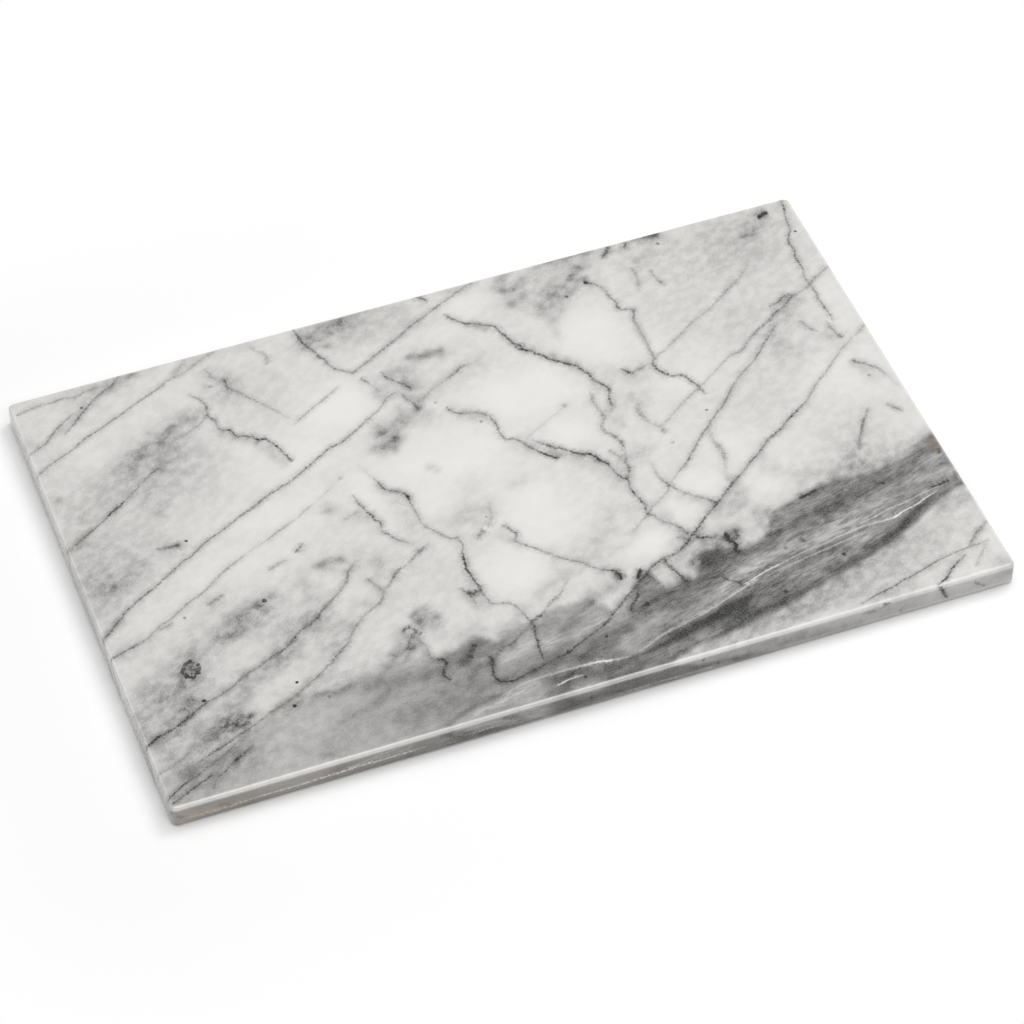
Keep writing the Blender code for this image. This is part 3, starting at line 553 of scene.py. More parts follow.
    (2.2, 55, ((74, -129.5), (80, -127.5), (88, -124.5))), (2, 40, ((70, -141), (80, -140))),
    (7, 10, ((186, -113), (193, -128))), (2.5, 18, ((178, -91), (192, -88))),
    (3, 20, ((200, -82), (204, -84))), (3, 20, ((218, -92.5), (230, -91))),
    (3, 22, ((117, -78), (117, -84))), (3, 26, ((27, -105), (33, -103))), (6, 9, ((0, -132), (6, -145))),
    (3, 62, ((-190.5, -63.5),)), (2.5, 36, ((-203, -92), (-201, -97))),
    (5, 8, ((-213, -74), (-208, -80))), (3, 14, ((-196.5, -68), (-196.5, -80))),
    (3.5, 32, ((-92, -99), (-87, -99))), (2.5, 32, ((-57.5, -118.5),)),
    (3.5, 28, ((-6, -98), (0, -98.5))), (2, 26, ((-27, -147.5), (-16, -144.5))),
    (4, 14, ((-100, -136), (-90, -135))), (6, 11, ((-150, -105), (-120, -108))),
    (3, 22, ((-149, -105), (-142, -106))), (3.5, 22, ((-182, -123), (-174, -122))),
    (3, 16, ((-218, -149), (-210, -148))), (5, 14, ((-118, 151), (-94, 150))),
    (5, 14, ((-32, 151), (-6, 151))), (3.5, 22, ((-126, 88), (-113, 79), (-107, 67), (-103, 55))),
    (3, 16, ((-107, 67),)), (3, 20, ((-124, 126),)), (5, 18, ((-229, 117), (-224, 116))),
    (4, 16, ((-228, 34), (-220, 34))), (6, 11, ((-178, 26), (-170, 22))),
    (5, 18, ((66, 115), (76, 115))), (3.5, 14, ((69, 106), (68, 94))), (6, 12, ((75, 133), (75, 148))),
    (5, 14, ((24, 150), (36, 149))), (2.5, 22, ((26, 119), (35, 111.5))),
    (2.5, 20, ((-20, -122), (-6, -120.5))), (4, 14, ((-200, -119), (-185, -112), (-172, -107))),
    (4, 8, ((-180, -99), (-165, -86))), (4, 9, ((-97, -57), (-93, -58))),
    (5, 8, ((-165, -146), (-118, -146))), (4, 12, ((-56, 8), (-54, -4), (-54, -16))),
)

# Paler places inside the grey band: reach in mm, strength in percent, then (x, y) along each
PALE_PLACES = (
    (5, 30, ((25, -127), (45, -122))), (4, 55, ((80, -114), (88, -110))),
    (4, 60, ((95, -105), (105, -102))), (3, 16, ((124, -91), (132, -90))),
    (3, 34, ((150, -93), (165, -88))), (3, 42, ((215, -66), (225, -65))),
    (3.5, 28, ((205, -77), (228, -78))), (4, 54, ((132, -101), (158, -95), (172, -91), (184, -86))),
    (3, 40, ((135, -116), (145, -113))), (3, 58, ((156, -108), (164, -106))),
    (5, 52, ((-40, -118), (-25, -112))), (5, 55, ((-18, -116), (-12, -114))),
    (4, 45, ((0, -116), (8, -113), (17, -113))), (2, 8, ((60, -136), (75, -134))),
    (3, 30, ((118, -98), (128, -96))), (3, 42, ((112, -99.5), (120, -99.5))),
    (3, 20, ((118, -118), (130, -119))), (4, 30, ((126, -123), (133, -124))),
    (5, 45, ((-198, -101.5), (-190, -102))),
    (3, 40, ((-78, -149.5), (-60, -147.5), (-45, -144), (-32, -140))),
    (3, 40, ((-43, -149.5), (-34, -147))), (3, 22, ((103, -117), (110, -114))),
    (4, 35, ((20, -131), (21, -138))), (3, 30, ((58, -141), (68, -140.5))),
    (4, 20, ((55, -122.5), (72, -118))), (4, 34, ((-92, -104), (-86, -104))),
    (4, 24, ((-2, -101), (6, -101))), (4, 30, ((14, -109), (26, -112))),
    (2.5, 46, ((95, -107.5), (110, -104), (126, -101))), (3, 22, ((38, -96), (37, -105))),
    (3, 34, ((50.5, -99),)), (3, 28, ((8, -103), (20, -103))), (3, 30, ((75, -98),)),
    (2.5, 28, ((125, -78),)), (3, 22, ((188, -80), (200, -79))), (2.5, 20, ((195, -68.5), (208, -68))),
    (2.5, 24, ((196, -91), (206, -88))), (2.5, 20, ((214, -86.5), (222, -86))),
    (2, 24, ((180, -96), (188, -95))), (2.5, 16, ((150, -98), (160, -97.5))),
    (2, 16, ((122, -94.5), (140, -94.5))), (3, 22, ((148, -116), (158, -115))),
    (3, 18, ((112, -128.5), (120, -127))), (2.5, 28, ((72, -118.5), (84, -116.5))),
    (2, 22, ((106, -113), (120, -109.5))), (3, 28, ((-83, -106),)), (4, 20, ((-31, -106), (-25, -105))),
    (3, 24, ((-12, -150), (-4, -149.5))),
)

# Brown tinted places, in the same measures
RUSTY_PLACES = (
    (3, 60, ((-222.5, 72),)), (2.5, 50, ((-199, -35.5), (-191, -33.5))),
    (2.5, 70, ((-133.5, -15.8), (-123, -12))), (2.5, 60, ((-88, -40), (-84, -51))),
    (3, 20, ((-135, -96), (-165, -110.5))), (3, 45, ((-112, -49.5), (-96, -32))),
    (3, 60, ((117.5, -15), (117, -27))), (2.5, 70, ((213.5, -20), (219.5, -28))),
    (2.5, 50, ((211.5, -132), (228, -118.5))), (2, 50, ((-183, 0), (-180, 2))),
    (2.5, 40, ((225, -54), (225, -62))), (4, 35, ((-230, 36), (-215, 42))),
    (3, 35, ((-90, -28), (-78, -31))),
)

# Broad areas of greyer stone: middle x and y, half lengths along x and y, darkness in percent
GREY_AREAS = (
    (-165, 82, 32, 18, 15), (-100, 112, 20, 26, 10), (-28, 138, 38, 16, 19), (77, 134, 34, 20, 15),
    (168, 100, 60, 42, 9), (-206, 12, 26, 26, 14), (158, 18, 36, 36, 9), (188, -36, 20, 18, 12),
    (-200, -138, 32, 16, 24), (-215, 60, 20, 40, 7), (-150, 60, 50, 25, 8), (-200, -70, 30, 25, 10),
    (205, -112, 30, 14, 14), (150, -138, 60, 12, 8), (200, 40, 30, 50, 5), (-222, 120, 12, 40, 6),
    (-205, -95, 30, 18, 26), (-190, -120, 40, 16, 14), (72, -147, 34, 9, 36), (112, -138, 30, 9, 24),
    (150, -126, 34, 8, 14), (180, -62, 50, 12, 15), (-130, -60, 22, 13, 17), (-150, -95, 40, 14, 6),
    (95, -80, 22, 12, 20), (60, -98, 26, 10, 16), (-222, -60, 12, 60, 6), (20, -96, 22, 8, 8),
    (-130, -70, 90, 45, 6), (-60, -30, 60, 30, 5), (-205, 30, 32, 18, 12), (185, 128, 45, 30, 9),
    (165, 68, 22, 14, 7), (140, -137, 55, 14, 12), (130, -136, 26, 9, 12), (185, -120, 34, 10, 12),
    (160, -128, 30, 8, 8), (-138, -135, 30, 9, 12),
)

# Faint grey over all the stone in percent, and the broad white places that it leaves free
GENERAL_GREY = 13
WHITE_PLACES = (
    (-105, 58, 30, 18, 90), (-104, -44, 8, 10, 45), (136.5, 144.5, 6, 4, 70), (160, 146, 14, 4, 45),
    (-24, 126, 11, 6, 45), (3, 136, 7, 5, 40), (180, 61, 4, 6, 50), (198, 55, 5, 6, 40),
    (-203, 54, 5, 3, 45), (-202, -6, 8, 5, 30), (-65, -5, 5, 9, 35), (-62, 84, 22, 20, 100),
    (-188, 93, 14, 8, 80), (-20, 28, 42, 24, 80), (-112, 20, 32, 14, 60), (-68, 20, 9, 14, 60),
    (34, 58, 32, 19, 100), (85, 88, 20, 27, 90), (48, 22, 14, 12, 80), (30, 136, 18, 9, 70),
    (130, 36, 24, 14, 55), (200, 12, 30, 18, 85), (218, 62, 12, 24, 60), (-14, -60, 24, 18, 90),
    (-40, 0, 16, 12, 70), (-222, -58, 10, 14, 60), (8, -28, 20, 28, 90), (55, -70, 17, 9, 80),
    (98, -38, 13, 11, 75), (130, -22, 20, 14, 50), (133, -54, 15, 8, 65), (-105, 118, 14, 8, 40),
    (112, 70, 8, 14, 60), (82, -52, 9, 9, 55), (-150, -5, 34, 12, 40), (8, 118, 14, 8, 40),
)

# Upper and lower edge of the grey band, as (x, y)
BAND_UPPER = (
    (-232, -132), (-190, -124), (-165, -112), (-150, -107), (-130, -105), (-105, -103), (-96, -99),
    (-90, -101.5), (-80, -103), (-72, -104), (-64, -104), (-58, -101), (-52, -99.5), (-48, -100),
    (-44, -103), (-40, -104.5), (-34, -101), (-28, -99.5), (-20, -101), (-14, -99), (-8, -98), (0, -97),
    (6, -96), (12, -95.5), (18, -100.5), (24, -108.5), (29, -108), (33, -103), (38, -95), (43, -89.5),
    (48.5, -87), (51, -92), (54, -101), (58, -101), (64, -98), (70, -100.5), (75, -94), (80, -86),
    (88, -86), (96, -88), (104, -89.5), (110, -89), (114, -88), (118, -84), (122, -77), (128, -70.5),
    (135, -68), (145, -66.5), (150, -65.5), (157, -62), (165, -61.5), (175, -63.5), (185, -63.5),
    (192, -62), (200, -59.5), (210, -57.5), (218, -54), (225, -50), (232, -46),
)
BAND_LOWER = (
    (-232, -175), (20, -175), (35, -153), (52, -146), (60, -144.5), (72, -143.5), (80, -142),
    (88, -140.5), (96, -138.8), (104, -137.3), (112, -134.7), (120, -132.5), (128, -130), (136, -127.7),
    (144, -125.5), (152, -123), (160, -120.3), (168, -117.8), (176, -114.5), (184, -110.7),
    (192, -106.5), (200, -102), (208, -98), (216, -94.3), (224, -91), (232, -88),
)
# Softness of both edges in mm, their fraying as depth and size in mm and a seed, and how much of
# the fraying the lower edge has
UPPER_BLUR = 7.5
LOWER_BLUR = 5.0
BAND_FRAY = ((2.2, 7.0, 3.1), (1.2, 2.6, 8.4))
LOWER_FRAY_SHARE = 0.4
# The band's darkness in percent along x, and the height of one of its own flow lines
BAND_DARKNESS = (
    (-232, 27), (-190, 31), (-165, 28), (-145, 34), (-125, 41), (-110, 47), (-90, 53), (-60, 59),
    (-30, 60), (0, 62), (20, 64), (40, 71), (80, 72), (110, 72), (130, 71), (160, 69), (232, 63),
)
BAND_FLOW = (
    (-232, -166), (-150, -156), (-50, -146), (0, -138), (50, -126), (100, -114), (150, -102.5),
    (200, -90), (232, -79),
)

# Marks on the front face: half width in mm, then (x, height above the underside, darkness in percent)
FRONT_MARKS = (
    (1.3, ((-88, 10.4, 30), (-84, 8, 45), (-78, 5, 50), (-72, 2, 40))),
    (0.9, ((-72, 1.5, 40), (-64, 3, 45), (-57, 3.6, 30))),
    (1.2, ((-55, 9.5, 30), (-50, 7.5, 45), (-45, 5.2, 45), (-42, 3.6, 20))),
    (0.5, ((-86, 1.4, 60), (-60, 1.3, 75), (-30, 1.5, 70), (0, 1.3, 40))),
    (1.0, ((53.4, 9, 70), (54.6, 9, 70))), (1.1, ((61.4, 3, 60), (62.6, 3, 60))),
    (0.8, ((143, 8.7, 28), (149, 8.4, 28))), (1.0, ((153, 11.3, 70), (157, 10.9, 80))),
    (1.0, ((163, 3, 50), (164, 3, 40))),
    (0.9, ((185.5, 12.4, 80), (187, 9, 85), (188, 6.5, 75), (190, 2.5, 60))),
    (0.7, ((204.5, 8.6, 40), (209, 5, 55), (211.5, 2.6, 40))), (0.8, ((-228, 8, 40), (-222, 4.5, 50))),
    (0.9, ((-204, 6.5, 45), (-198, 4, 50))),
)
# Pale bruised lines along the lower part of the front face, in the same measures
FRONT_BRUISES = (
    (0.6, ((-220, 3.4, 50), (-210, 3.2, 80), (-200, 3, 80), (-180, 3.8, 92), (-165, 3.8, 92),
        (-150, 4.2, 95), (-140, 4.3, 95), (-130, 5, 92), (-120, 4.5, 92), (-105, 4.7, 80),
        (-95, 4.6, 25))),
    (0.35, ((-137, 6.3, 20), (-128, 7, 40), (-120, 8.8, 45), (-107, 9.5, 20))),
    (0.4, ((-73, 4.8, 20), (-66, 4.8, 60), (-56, 4.7, 20))),
    (0.4, ((8, 2.2, 20), (30, 2.4, 45), (61, 2.1, 20))),
)
# How deep the front face's marks go in mm, so that the top face has none
FRONT_SKIN = 0.7

# Painted highlight along the rounded top edge, laid in as paler stone: across it by depth over its radius,
# and along the front edge by x
ARRIS_HIGHLIGHT_ACROSS = ((0, 0.15), (0.05, 1.15), (0.19, 0.9), (0.41, 0.75), (0.69, 1.15), (1.0, 0.55), (1.4, 0))
ARRIS_HIGHLIGHT_FRONT = ((-232, 0.95), (60, 1.05), (85, 0.95), (110, 0.75), (150, 0.38), (232, 0.35))
ARRIS_HIGHLIGHT_ELSEWHERE = 0.45
# Painted bounce light from the table, laid in as paleness of the ease at the bottom of the front wall by
# x, and the height that it fades out at in mm
LOWER_EDGE_BOUNCE_FRONT = ((-232, 0.3), (-190, 0.1), (-110, 0.05), (-60, 0.3), (0, 0.5), (232, 0.5))
LOWER_EDGE_BOUNCE_HEIGHT = 3.6
# The front wall's tone starts at this share of the top round's depth: painted shade as extra grey in
# percent, and the stone's own warmth by x
WALL_FROM = 0.6
FRONT_WALL_PAINTED_SHADE = 22
FRONT_WARMTH = ((-232, 0.4), (-150, 0.28), (-96, 0.12), (0, 0.08), (232, 0.06))

# Rough broken strip along the lower front edge, in millimetres: x range with the fades at its ends,
# height, depth, and the softness of its upper edge in the mesh and in the finish
ROUGH_FROM, ROUGH_TO = -226.0, -96.0
ROUGH_FADES = (6.0, 8.0)
ROUGH_HEIGHT = 4.0
ROUGH_DEPTH = 0.28
ROUGH_EDGE = 0.9
ROUGH_TINT_EDGE = 1.2
# Its ragged upper edge and its chips, as depth, size in mm and seed, and the chips' mean share
ROUGH_RAGS = (0.9, 9.0, 1.7)
ROUGH_CHIPS = (0.35, 2.4, 5.2)
CHIPS_MEAN = 0.65
# Iron stain on the front face: middle x and height, half lengths, strength in percent
IRON_STAIN = (-209.0, 3.4, 14.0, 2.2, 80)

# Colours of the finishes
DARK_STONE = (0.0245, 0.024, 0.0225, 1.0)
WHITE_STONE = (0.818, 0.808, 0.787, 1.0)
RUST_TINT = (0.31, 0.24, 0.18, 1.0)
IRON_TINT = (0.56, 0.46, 0.35, 1.0)
RUBBER_SHADES = ((0.26, 0.26, 0.255, 1.0), (0.44, 0.44, 0.43, 1.0))
FILM_SHADES = ((0.66, 0.64, 0.58, 1.0), (0.80, 0.79, 0.75, 1.0))
TABLE_WHITE = (0.985, 0.985, 0.985, 1.0)

# Noises in the finishes: features per millimetre, detail and roughness
VEIN_DRIFT = (0.36, 2.0, 0.6)
VEIN_SHAKE = (1.5, 2.0, 0.6)
VEIN_SWELLING = (0.5, 2.0, 0.7)
VEIN_GAPS = (0.9, 3.0, 0.75)
VEIN_DUST = (1.1, 3.0, 0.7)
COARSE_MOTTLE = (0.2, 3.0, 0.55)
FINE_MOTTLE = (1.1, 3.0, 0.65)
GRAIN_NOISE = (1.0, 3.0, 0.65)
BROAD_STREAKS = (0.6, 3.0, 0.6)
THIN_STREAKS = (2.4, 3.0, 0.6)
PALE_STREAKS = (2.0, 2.0, 0.5)
GRAIN_OUTLINE = (0.9, 2.0, 0.5)
STONE_HAZE = (0.06, 5.0, 0.62)
IRON_PATCHES = (0.5, 3.0, 0.7)
POLISH_PATCHES = (0.12, 3.0, 0.5)
POLISH_WAVES = (0.25, 2.0, 0.5)
ROUGH_STONE = (1.2, 4.0, 0.7)
RUBBER_PATCHES = (0.25, 3.0, 0.6)
FILM_PATCHES = (0.3, 3.0, 0.6)
# Crystals and bruised dots, in cells per millimetre
CELL_DENSITY = 0.8

# Ramps in the finishes: the two values that they run between, and their results there
LINE_SWELL = (0.3, 0.7, 0.5, 1.6)
LINE_CORE = (0.35, 1.6, 1.1, 0.0)
LINE_BROKEN = (0.38, 0.6)
LINE_LOOSE = (0.6, 0.97, 1.3, 0.4)
LINE_DUST = (0.6, 4.5, 1.0, 0.0)
DUST_PATCHES = (0.35, 0.65, 0.1, 1.9)
BOTH_WAYS = (0.3, 0.7, -1.0, 1.0)
THIN_BOTH_WAYS = (0.32, 0.68, -1.0, 1.0)
STREAKS_BY_X = (-20.0, 90.0, 0.3, 1.0)
CALM_BY_HEIGHT = (SLAB_TOP - 3.0, SLAB_TOP - 1.0, 0.4, 1.0)
CALM_IN_BAND = (0.2, 0.6, 0.9, 0.3)
PALE_PATCHES = (0.35, 0.6, 0.4, 1.2)
GRAIN_CORE = (0.7, 1.2, 1.0, 0.0)
BRUISE_DOTS = (0.3, 0.7, 1.0, 0.35)
IRON_BLOTCHES = (0.35, 0.65, 0.3, 1.1)
ROUGHNESS_BY_HEIGHT = (SLAB_BOTTOM + 0.1, SLAB_BOTTOM + 1.0, 0.62, 0.24)
FILM_CLOUDS = (0.35, 0.65)

# How far the effects go: bends of a line in mm, swings of the grey covers and of the streaks
DRIFT_BEND, SHAKE_BEND = 1.6, 0.55
COARSE_SWING, FINE_SWING = 0.3, 0.14
BROAD_SWING, THIN_SWING = 0.15, 0.10
BAND_MOTTLE = 0.32
# Streaks are this much longer than wide: the stretch along x, across the flow and with height
STREAK_STRETCH = (0.07, 0.30, 0.2)
# How clear the paler places, hairlines and bruises are, and the share of the paler places
PALE_PLACE_CLEAR, HAIRLINE_CLEAR, BRUISE_CLEAR = 0.92, 0.95, 0.98
PALE_PLACE_SHARE = 0.7
# The crystals' size in mm, and their swing in white stone and, further, in dark stone
CRYSTAL_SIZE = 0.78
WHITE_CRYSTALS, DARK_CRYSTALS = 0.03, 0.34
HAZE_SWING = 0.13
# Paleness that the painted highlight on the top arris and the painted bounce light on the lower front edge
# add to the darkest stone, and its change towards white stone
PAINTED_EDGE_LIGHT_GAIN, PAINTED_EDGE_LIGHT_LOSS = 0.56, -0.28

# How far the lines of each kind wander in mm, how broken they are, and how much dust lies round them
VEIN_STYLE = {"Wander": 0.8, "Breaks": 0.75, "Halo": 0.3}
MARK_STYLE = {"Wander": 0.9, "Breaks": 0.5, "Halo": 0.25}
HAIRLINE_STYLE = {"Wander": 0.25, "Breaks": 0.3, "Halo": 0.2}
BRUISE_STYLE = {"Wander": 0.25, "Breaks": 0.3, "Halo": 0.1}

# Camera: degrees, metres and millimetres
CAMERA_AZIMUTH = -18.98
CAMERA_ELEVATION = 46.22
CAMERA_ROLL = -1.68
CAMERA_AIM = Vector((0.00376, -0.00665, SLAB_BOTTOM * MM - 0.00485))
CAMERA_DISTANCE = 2.1843
SENSOR_WIDTH = 36.0
LENS = 144.56

# The sky's level at the horizon and overhead
HORIZON_LEVEL = 0.08
ZENITH_LEVEL = 1.74
# Softboxes: name, place and size in metres, power
SOFTBOXES = (
    ("main_softbox", (1.10, 0.52, 1.95), (1.0, 1.0), 12.6),
    ("front_softbox", (0.12, -1.45, 1.50), (0.9, 0.5), 4.8),
)
# Half the table's width in metres, and where it fades into the backdrop, in mm from the board
FLOOR_HALF = 6.0
FLOOR_FADE = (25.0, 150.0)


def smooth_step(values):
    """An eased ramp from 0 to 1."""
    ramp = np.clip(values, 0, 1)
    return ramp * ramp * (3 - 2 * ramp)


def along_x(table, x):
    """The value of a table of (x, value) rows at each x."""
    rows = np.array(table, float)
    return np.interp(x, rows[:, 0], rows[:, 1])


def wander(places, depth, size, seed):
    """Smooth noise up to a depth either way at every place, with features of one size in mm."""
    return depth * np.array([noise.noise(Vector((x / size, y / size, seed))) for x, y in places])


def smooth_line(points):
    """Rows of numbers along a line, joined by a smooth curve through every given row."""
    rows = np.array(points, float)
    if len(rows) < 3:
        return rows
    padded = np.vstack([2 * rows[0] - rows[1], rows, 2 * rows[-1] - rows[-2]])
    result = []
    for before, start, end, after in zip(padded, padded[1:], padded[2:], padded[3:]):
        count = max(1, round(float(np.hypot(*(end - start)[:2])) / LINE_STEP))
        for share in np.arange(count) / count:
            curve = 0.5 * (
                2 * start
                + (end - before) * share
                + (2 * before - 5 * start + 4 * end - after) * share**2
                + (3 * start - before - 3 * end + after) * share**3
            )
            curve[2:] = start[2:] + (end[2:] - start[2:]) * share
            result.append(curve)
    result.append(rows[-1])
    return np.array(result)


def line_rows(half_width, points):
    """A smooth line from (x, y, darkness) points, with its half width in every row."""
    return smooth_line([(x, y, half_width, percent) for x, y, percent in points])


def beside(places, start, end):
    """How far along a straight segment each place lies, where it is nearest, and the gap to it."""
    along = end[:2] - start[:2]
    away = places - start[:2]
    length = max(float(np.hypot(*along)), 1 / FAR)
    share = away @ along / length**2
    nearest = np.clip(share, 0, 1)
    gap = np.hypot(*(away - nearest[:, None] * along).T)
    return share, nearest, gap


class Layer:
    """Drawn lines, measured at every vertex: distance to one side, half width and darkness."""

    def __init__(self, places):
        self.places = places
        self.nearest = np.full(len(places), FAR)
        self.values = np.zeros((len(places), 3))
        self.values[:, 0] = 2 * LINE_REACH
        self.drawn = np.empty((0, 2))

    def room(self, line):
        """Distance from a line to the nearest one that this layer already holds."""
        if not len(self.drawn):
            return FAR
        gaps = np.hypot(*(line[:, None, :2] - self.drawn[None]).transpose(2, 0, 1))
        return float(gaps.min())

    def draw(self, line, allowed=True):
        """Adds a line whose rows are x, y, half width and darkness in percent."""
        last = len(line) - 2
        for index, (start, end) in enumerate(zip(line, line[1:])):
            low = np.minimum(start[:2], end[:2]) - LINE_REACH
            high = np.maximum(start[:2], end[:2]) + LINE_REACH
            close = np.all((self.places > low) & (self.places < high), axis=1) & allowed
            near = np.nonzero(close)[0]
            share, nearest, gap = beside(self.places[near], start, end)
            along = end[:2] - start[:2]
            away = self.places[near] - start[:2]
            side = np.sign(along[0] * away[:, 1] - along[1] * away[:, 0])
            half_width, dark = (start[row] + (end[row] - start[row]) * nearest for row in (2, 3))
            dark[((share < 0) & (index == 0)) | ((share > 1) & (index == last))] = 0
            better = gap < self.nearest[near]
            chosen = near[better]
            self.nearest[chosen] = gap[better]
            self.values[chosen] = np.column_stack([gap * side, half_width, dark / 100])[better]
        self.drawn = np.vstack([self.drawn, line[:, :2]])

    def marks(self):
        """The drawn values, with the darkness faded out before the reach ends."""
        result = self.values.copy()
        result[:, 2] *= smooth_step((LINE_REACH - self.nearest) / LINE_FADE)
        return result

    def halo(self):
        """Soft cover on both sides of the drawn lines."""
        return HALO_STRENGTH * self.marks()[:, 2] * np.exp(-((self.nearest / HALO_REACH) ** 2))


def streak_cover(places, points):
    """Soft cover of one streak with (x, y, reach, darkness in percent) along it, from 0 to 1."""
    rows = np.array(points, float)
    cover = np.zeros(len(places))
    for start, end in zip(rows, rows[1:] if len(rows) > 1 else rows):
        nearest, gap = beside(places, start, end)[1:]
        reach, dark = (start[row] + (end[row] - start[row]) * nearest for row in (2, 3))
        cover = np.maximum(cover, dark / 100 * np.exp(-((gap / reach) ** 2)))
    return cover


def streaks_cover(places, streaks):
    """How much a set of streaks covers each place together."""
    clear = np.ones(len(places))
    for points in streaks:
        clear *= 1 - streak_cover(places, points)
    return 1 - clear


def soft_cover(places, strokes):
    """How much a set of soft strokes covers each place, each with one reach and strength."""
    return streaks_cover(places, (
        [(x, y, reach, percent) for x, y in points] for reach, percent, points in strokes
    ))


def area_cover(places, areas):
    """Cover of broad oval areas of greyer stone."""
    clear = np.ones(len(places))
    for x, y, half_x, half_y, percent in areas:
        reach = np.hypot((places[:, 0] - x) / half_x, (places[:, 1] - y) / half_y)
        clear *= 1 - percent / 100 * np.exp(-(reach**3))
    return 1 - clear


def band_cover(places):
    """Cover of the dark band across the front of the board, with its frayed edges."""
    x, y = places.T
    fray = sum(wander(places, *layer) for layer in BAND_FRAY)
    upper = smooth_step((along_x(BAND_UPPER, x) - y + fray) / UPPER_BLUR + 0.5)
    lower = smooth_step((y - along_x(BAND_LOWER, x) + LOWER_FRAY_SHARE * fray) / LOWER_BLUR + 0.5)
    return upper * lower * along_x(BAND_DARKNESS, x) / 100


def side_points(count, half_along, half_out, inset):
    """Points of one side of the outline, from the middle of its first corner to the next one's."""
    straight = half_along - CORNER_RADIUS
    radius = CORNER_RADIUS - inset
    step = np.arange(count)
    into_corner = np.maximum(CORNER_CELLS - step, step - count + CORNER_CELLS).clip(0)
    angle = np.radians(45 * into_corner / CORNER_CELLS)
    share = np.clip((step - CORNER_CELLS) / (count - 2 * CORNER_CELLS), 0, 1)
    along = straight * (2 * share - 1) + np.sign(share - 0.5) * radius * np.sin(angle)
    return np.column_stack([along, CORNER_RADIUS - half_out - radius * np.cos(angle)])


def outline_ring(inset):
    """The slab's outline, moved inwards by the inset: one point for each cell along its sides."""
    front = side_points(CELLS_LONG, HALF_LENGTH, HALF_WIDTH, inset)
    right = side_points(CELLS_SHORT, HALF_WIDTH, HALF_LENGTH, inset)[:, ::-1] * (-1, 1)
    return np.vstack([front, right, -front, -right])


def grid_lines(count, half):
    """Where the top face's grid lines cross one side, with narrower cells at the corners."""
    straight = half - CORNER_RADIUS
    corner = np.linspace(TOP_ROUND - half, -straight, CORNER_CELLS + 1)[:-1]
    middle = np.linspace(-straight, straight, count - 2 * CORNER_CELLS + 1)
    return np.concatenate([corner, middle, -corner[::-1]])


def flat_sheet(xs, ys, first):
    """Points of a grid, and the numbers of its cells and its rim, counter-clockwise from above."""
    points = np.stack(np.meshgrid(xs, ys), -1).reshape(-1, 2)
    grid = first + np.arange(len(points)).reshape(len(ys), len(xs))
    cells = np.stack([grid[:-1, :-1], grid[:-1, 1:], grid[1:, 1:], grid[1:, :-1]], -1).reshape(-1, 4)
    rim = np.concatenate([grid[0, :-1], grid[:-1, -1], grid[-1, :0:-1], grid[:0:-1, 0]])
    return points, cells, rim


def slab_rings():
    """Inset and height of each ring below the top face, in millimetres."""
    rings = []
    for step in range(1, ROUND_STEPS + 1):
        angle = math.pi / 2 * step / ROUND_STEPS
        rings.append((TOP_ROUND * (1 - math.sin(angle)), SLAB_TOP - TOP_ROUND * (1 - math.cos(angle))))
    wall_top = SLAB_TOP - TOP_ROUND
    wall_bottom = SLAB_BOTTOM + LOWER_EASE
    for step in range(1, WALL_STEPS + 1):
        rings.append((0.0, wall_top + (wall_bottom - wall_top) * step / WALL_STEPS))
    for step in range(1, EASE_STEPS + 1):
        angle = math.pi / 2 * step / EASE_STEPS
        rings.append((LOWER_EASE * (1 - math.cos(angle)), wall_bottom - LOWER_EASE * math.sin(angle)))
    return rings


def slab_shape():
    """Vertices, upper faces, underside and unfolded map of the slab, in millimetres."""
    flat, cells, upper = flat_sheet(
        grid_lines(CELLS_LONG, HALF_LENGTH), grid_lines(CELLS_SHORT, HALF_WIDTH), 0)
    flat[upper] = outline_ring(TOP_ROUND)
    heights = np.full(len(flat), SLAB_TOP)
    unfolded = flat
    faces = cells.tolist()
    spread = 0.0
    before = (TOP_ROUND, SLAB_TOP)
    for inset, height in slab_rings():
        spread += math.dist(before, (inset, height))
        before = (inset, height)
        ring = outline_ring(inset)
        lower = np.arange(len(ring)) + len(flat)
        flat = np.vstack([flat, ring])
        heights = np.append(heights, np.full(len(ring), height))
        unfolded = np.vstack([unfolded, outline_ring(TOP_ROUND - spread)])
        faces += np.stack([upper, lower, np.roll(lower, -1), np.roll(upper, -1)], 1).tolist()
        upper = lower

    # The underside is a coarser sheet, joined to the last ring by a strip of fans
    sheet, cells, rim = flat_sheet(
        np.linspace(-1, 1, CELLS_LONG // UNDERSIDE_EVERY + 1) * (HALF_LENGTH - UNDERSIDE_MARGIN),
        np.linspace(-1, 1, CELLS_SHORT // UNDERSIDE_EVERY + 1) * (HALF_WIDTH - UNDERSIDE_MARGIN),
        len(flat),
    )
    flat = np.vstack([flat, sheet])
    heights = np.append(heights, np.full(len(sheet), SLAB_BOTTOM))
    underside = cells[:, [0, 3, 2, 1]].tolist()
    middle = UNDERSIDE_EVERY // 2
    for index, (outer, beyond) in enumerate(zip(upper, np.roll(upper, -1))):
        part, step = divmod(index, UNDERSIDE_EVERY)
        inner, following = rim[part], rim[(part + 1) % len(rim)]
        if step == middle:
            underside.append([outer, inner, following, beyond])
        else:
            underside.append([outer, inner if step < middle else following, beyond])
    return flat, heights, faces, underside, unfolded


def rough_length(x):
    """1 along the rough strip of the lower front edge, faded out at both of its ends."""
    left, right = ROUGH_FADES
    return smooth_step((x - ROUGH_FROM) / left) * smooth_step((ROUGH_TO - x) / right)


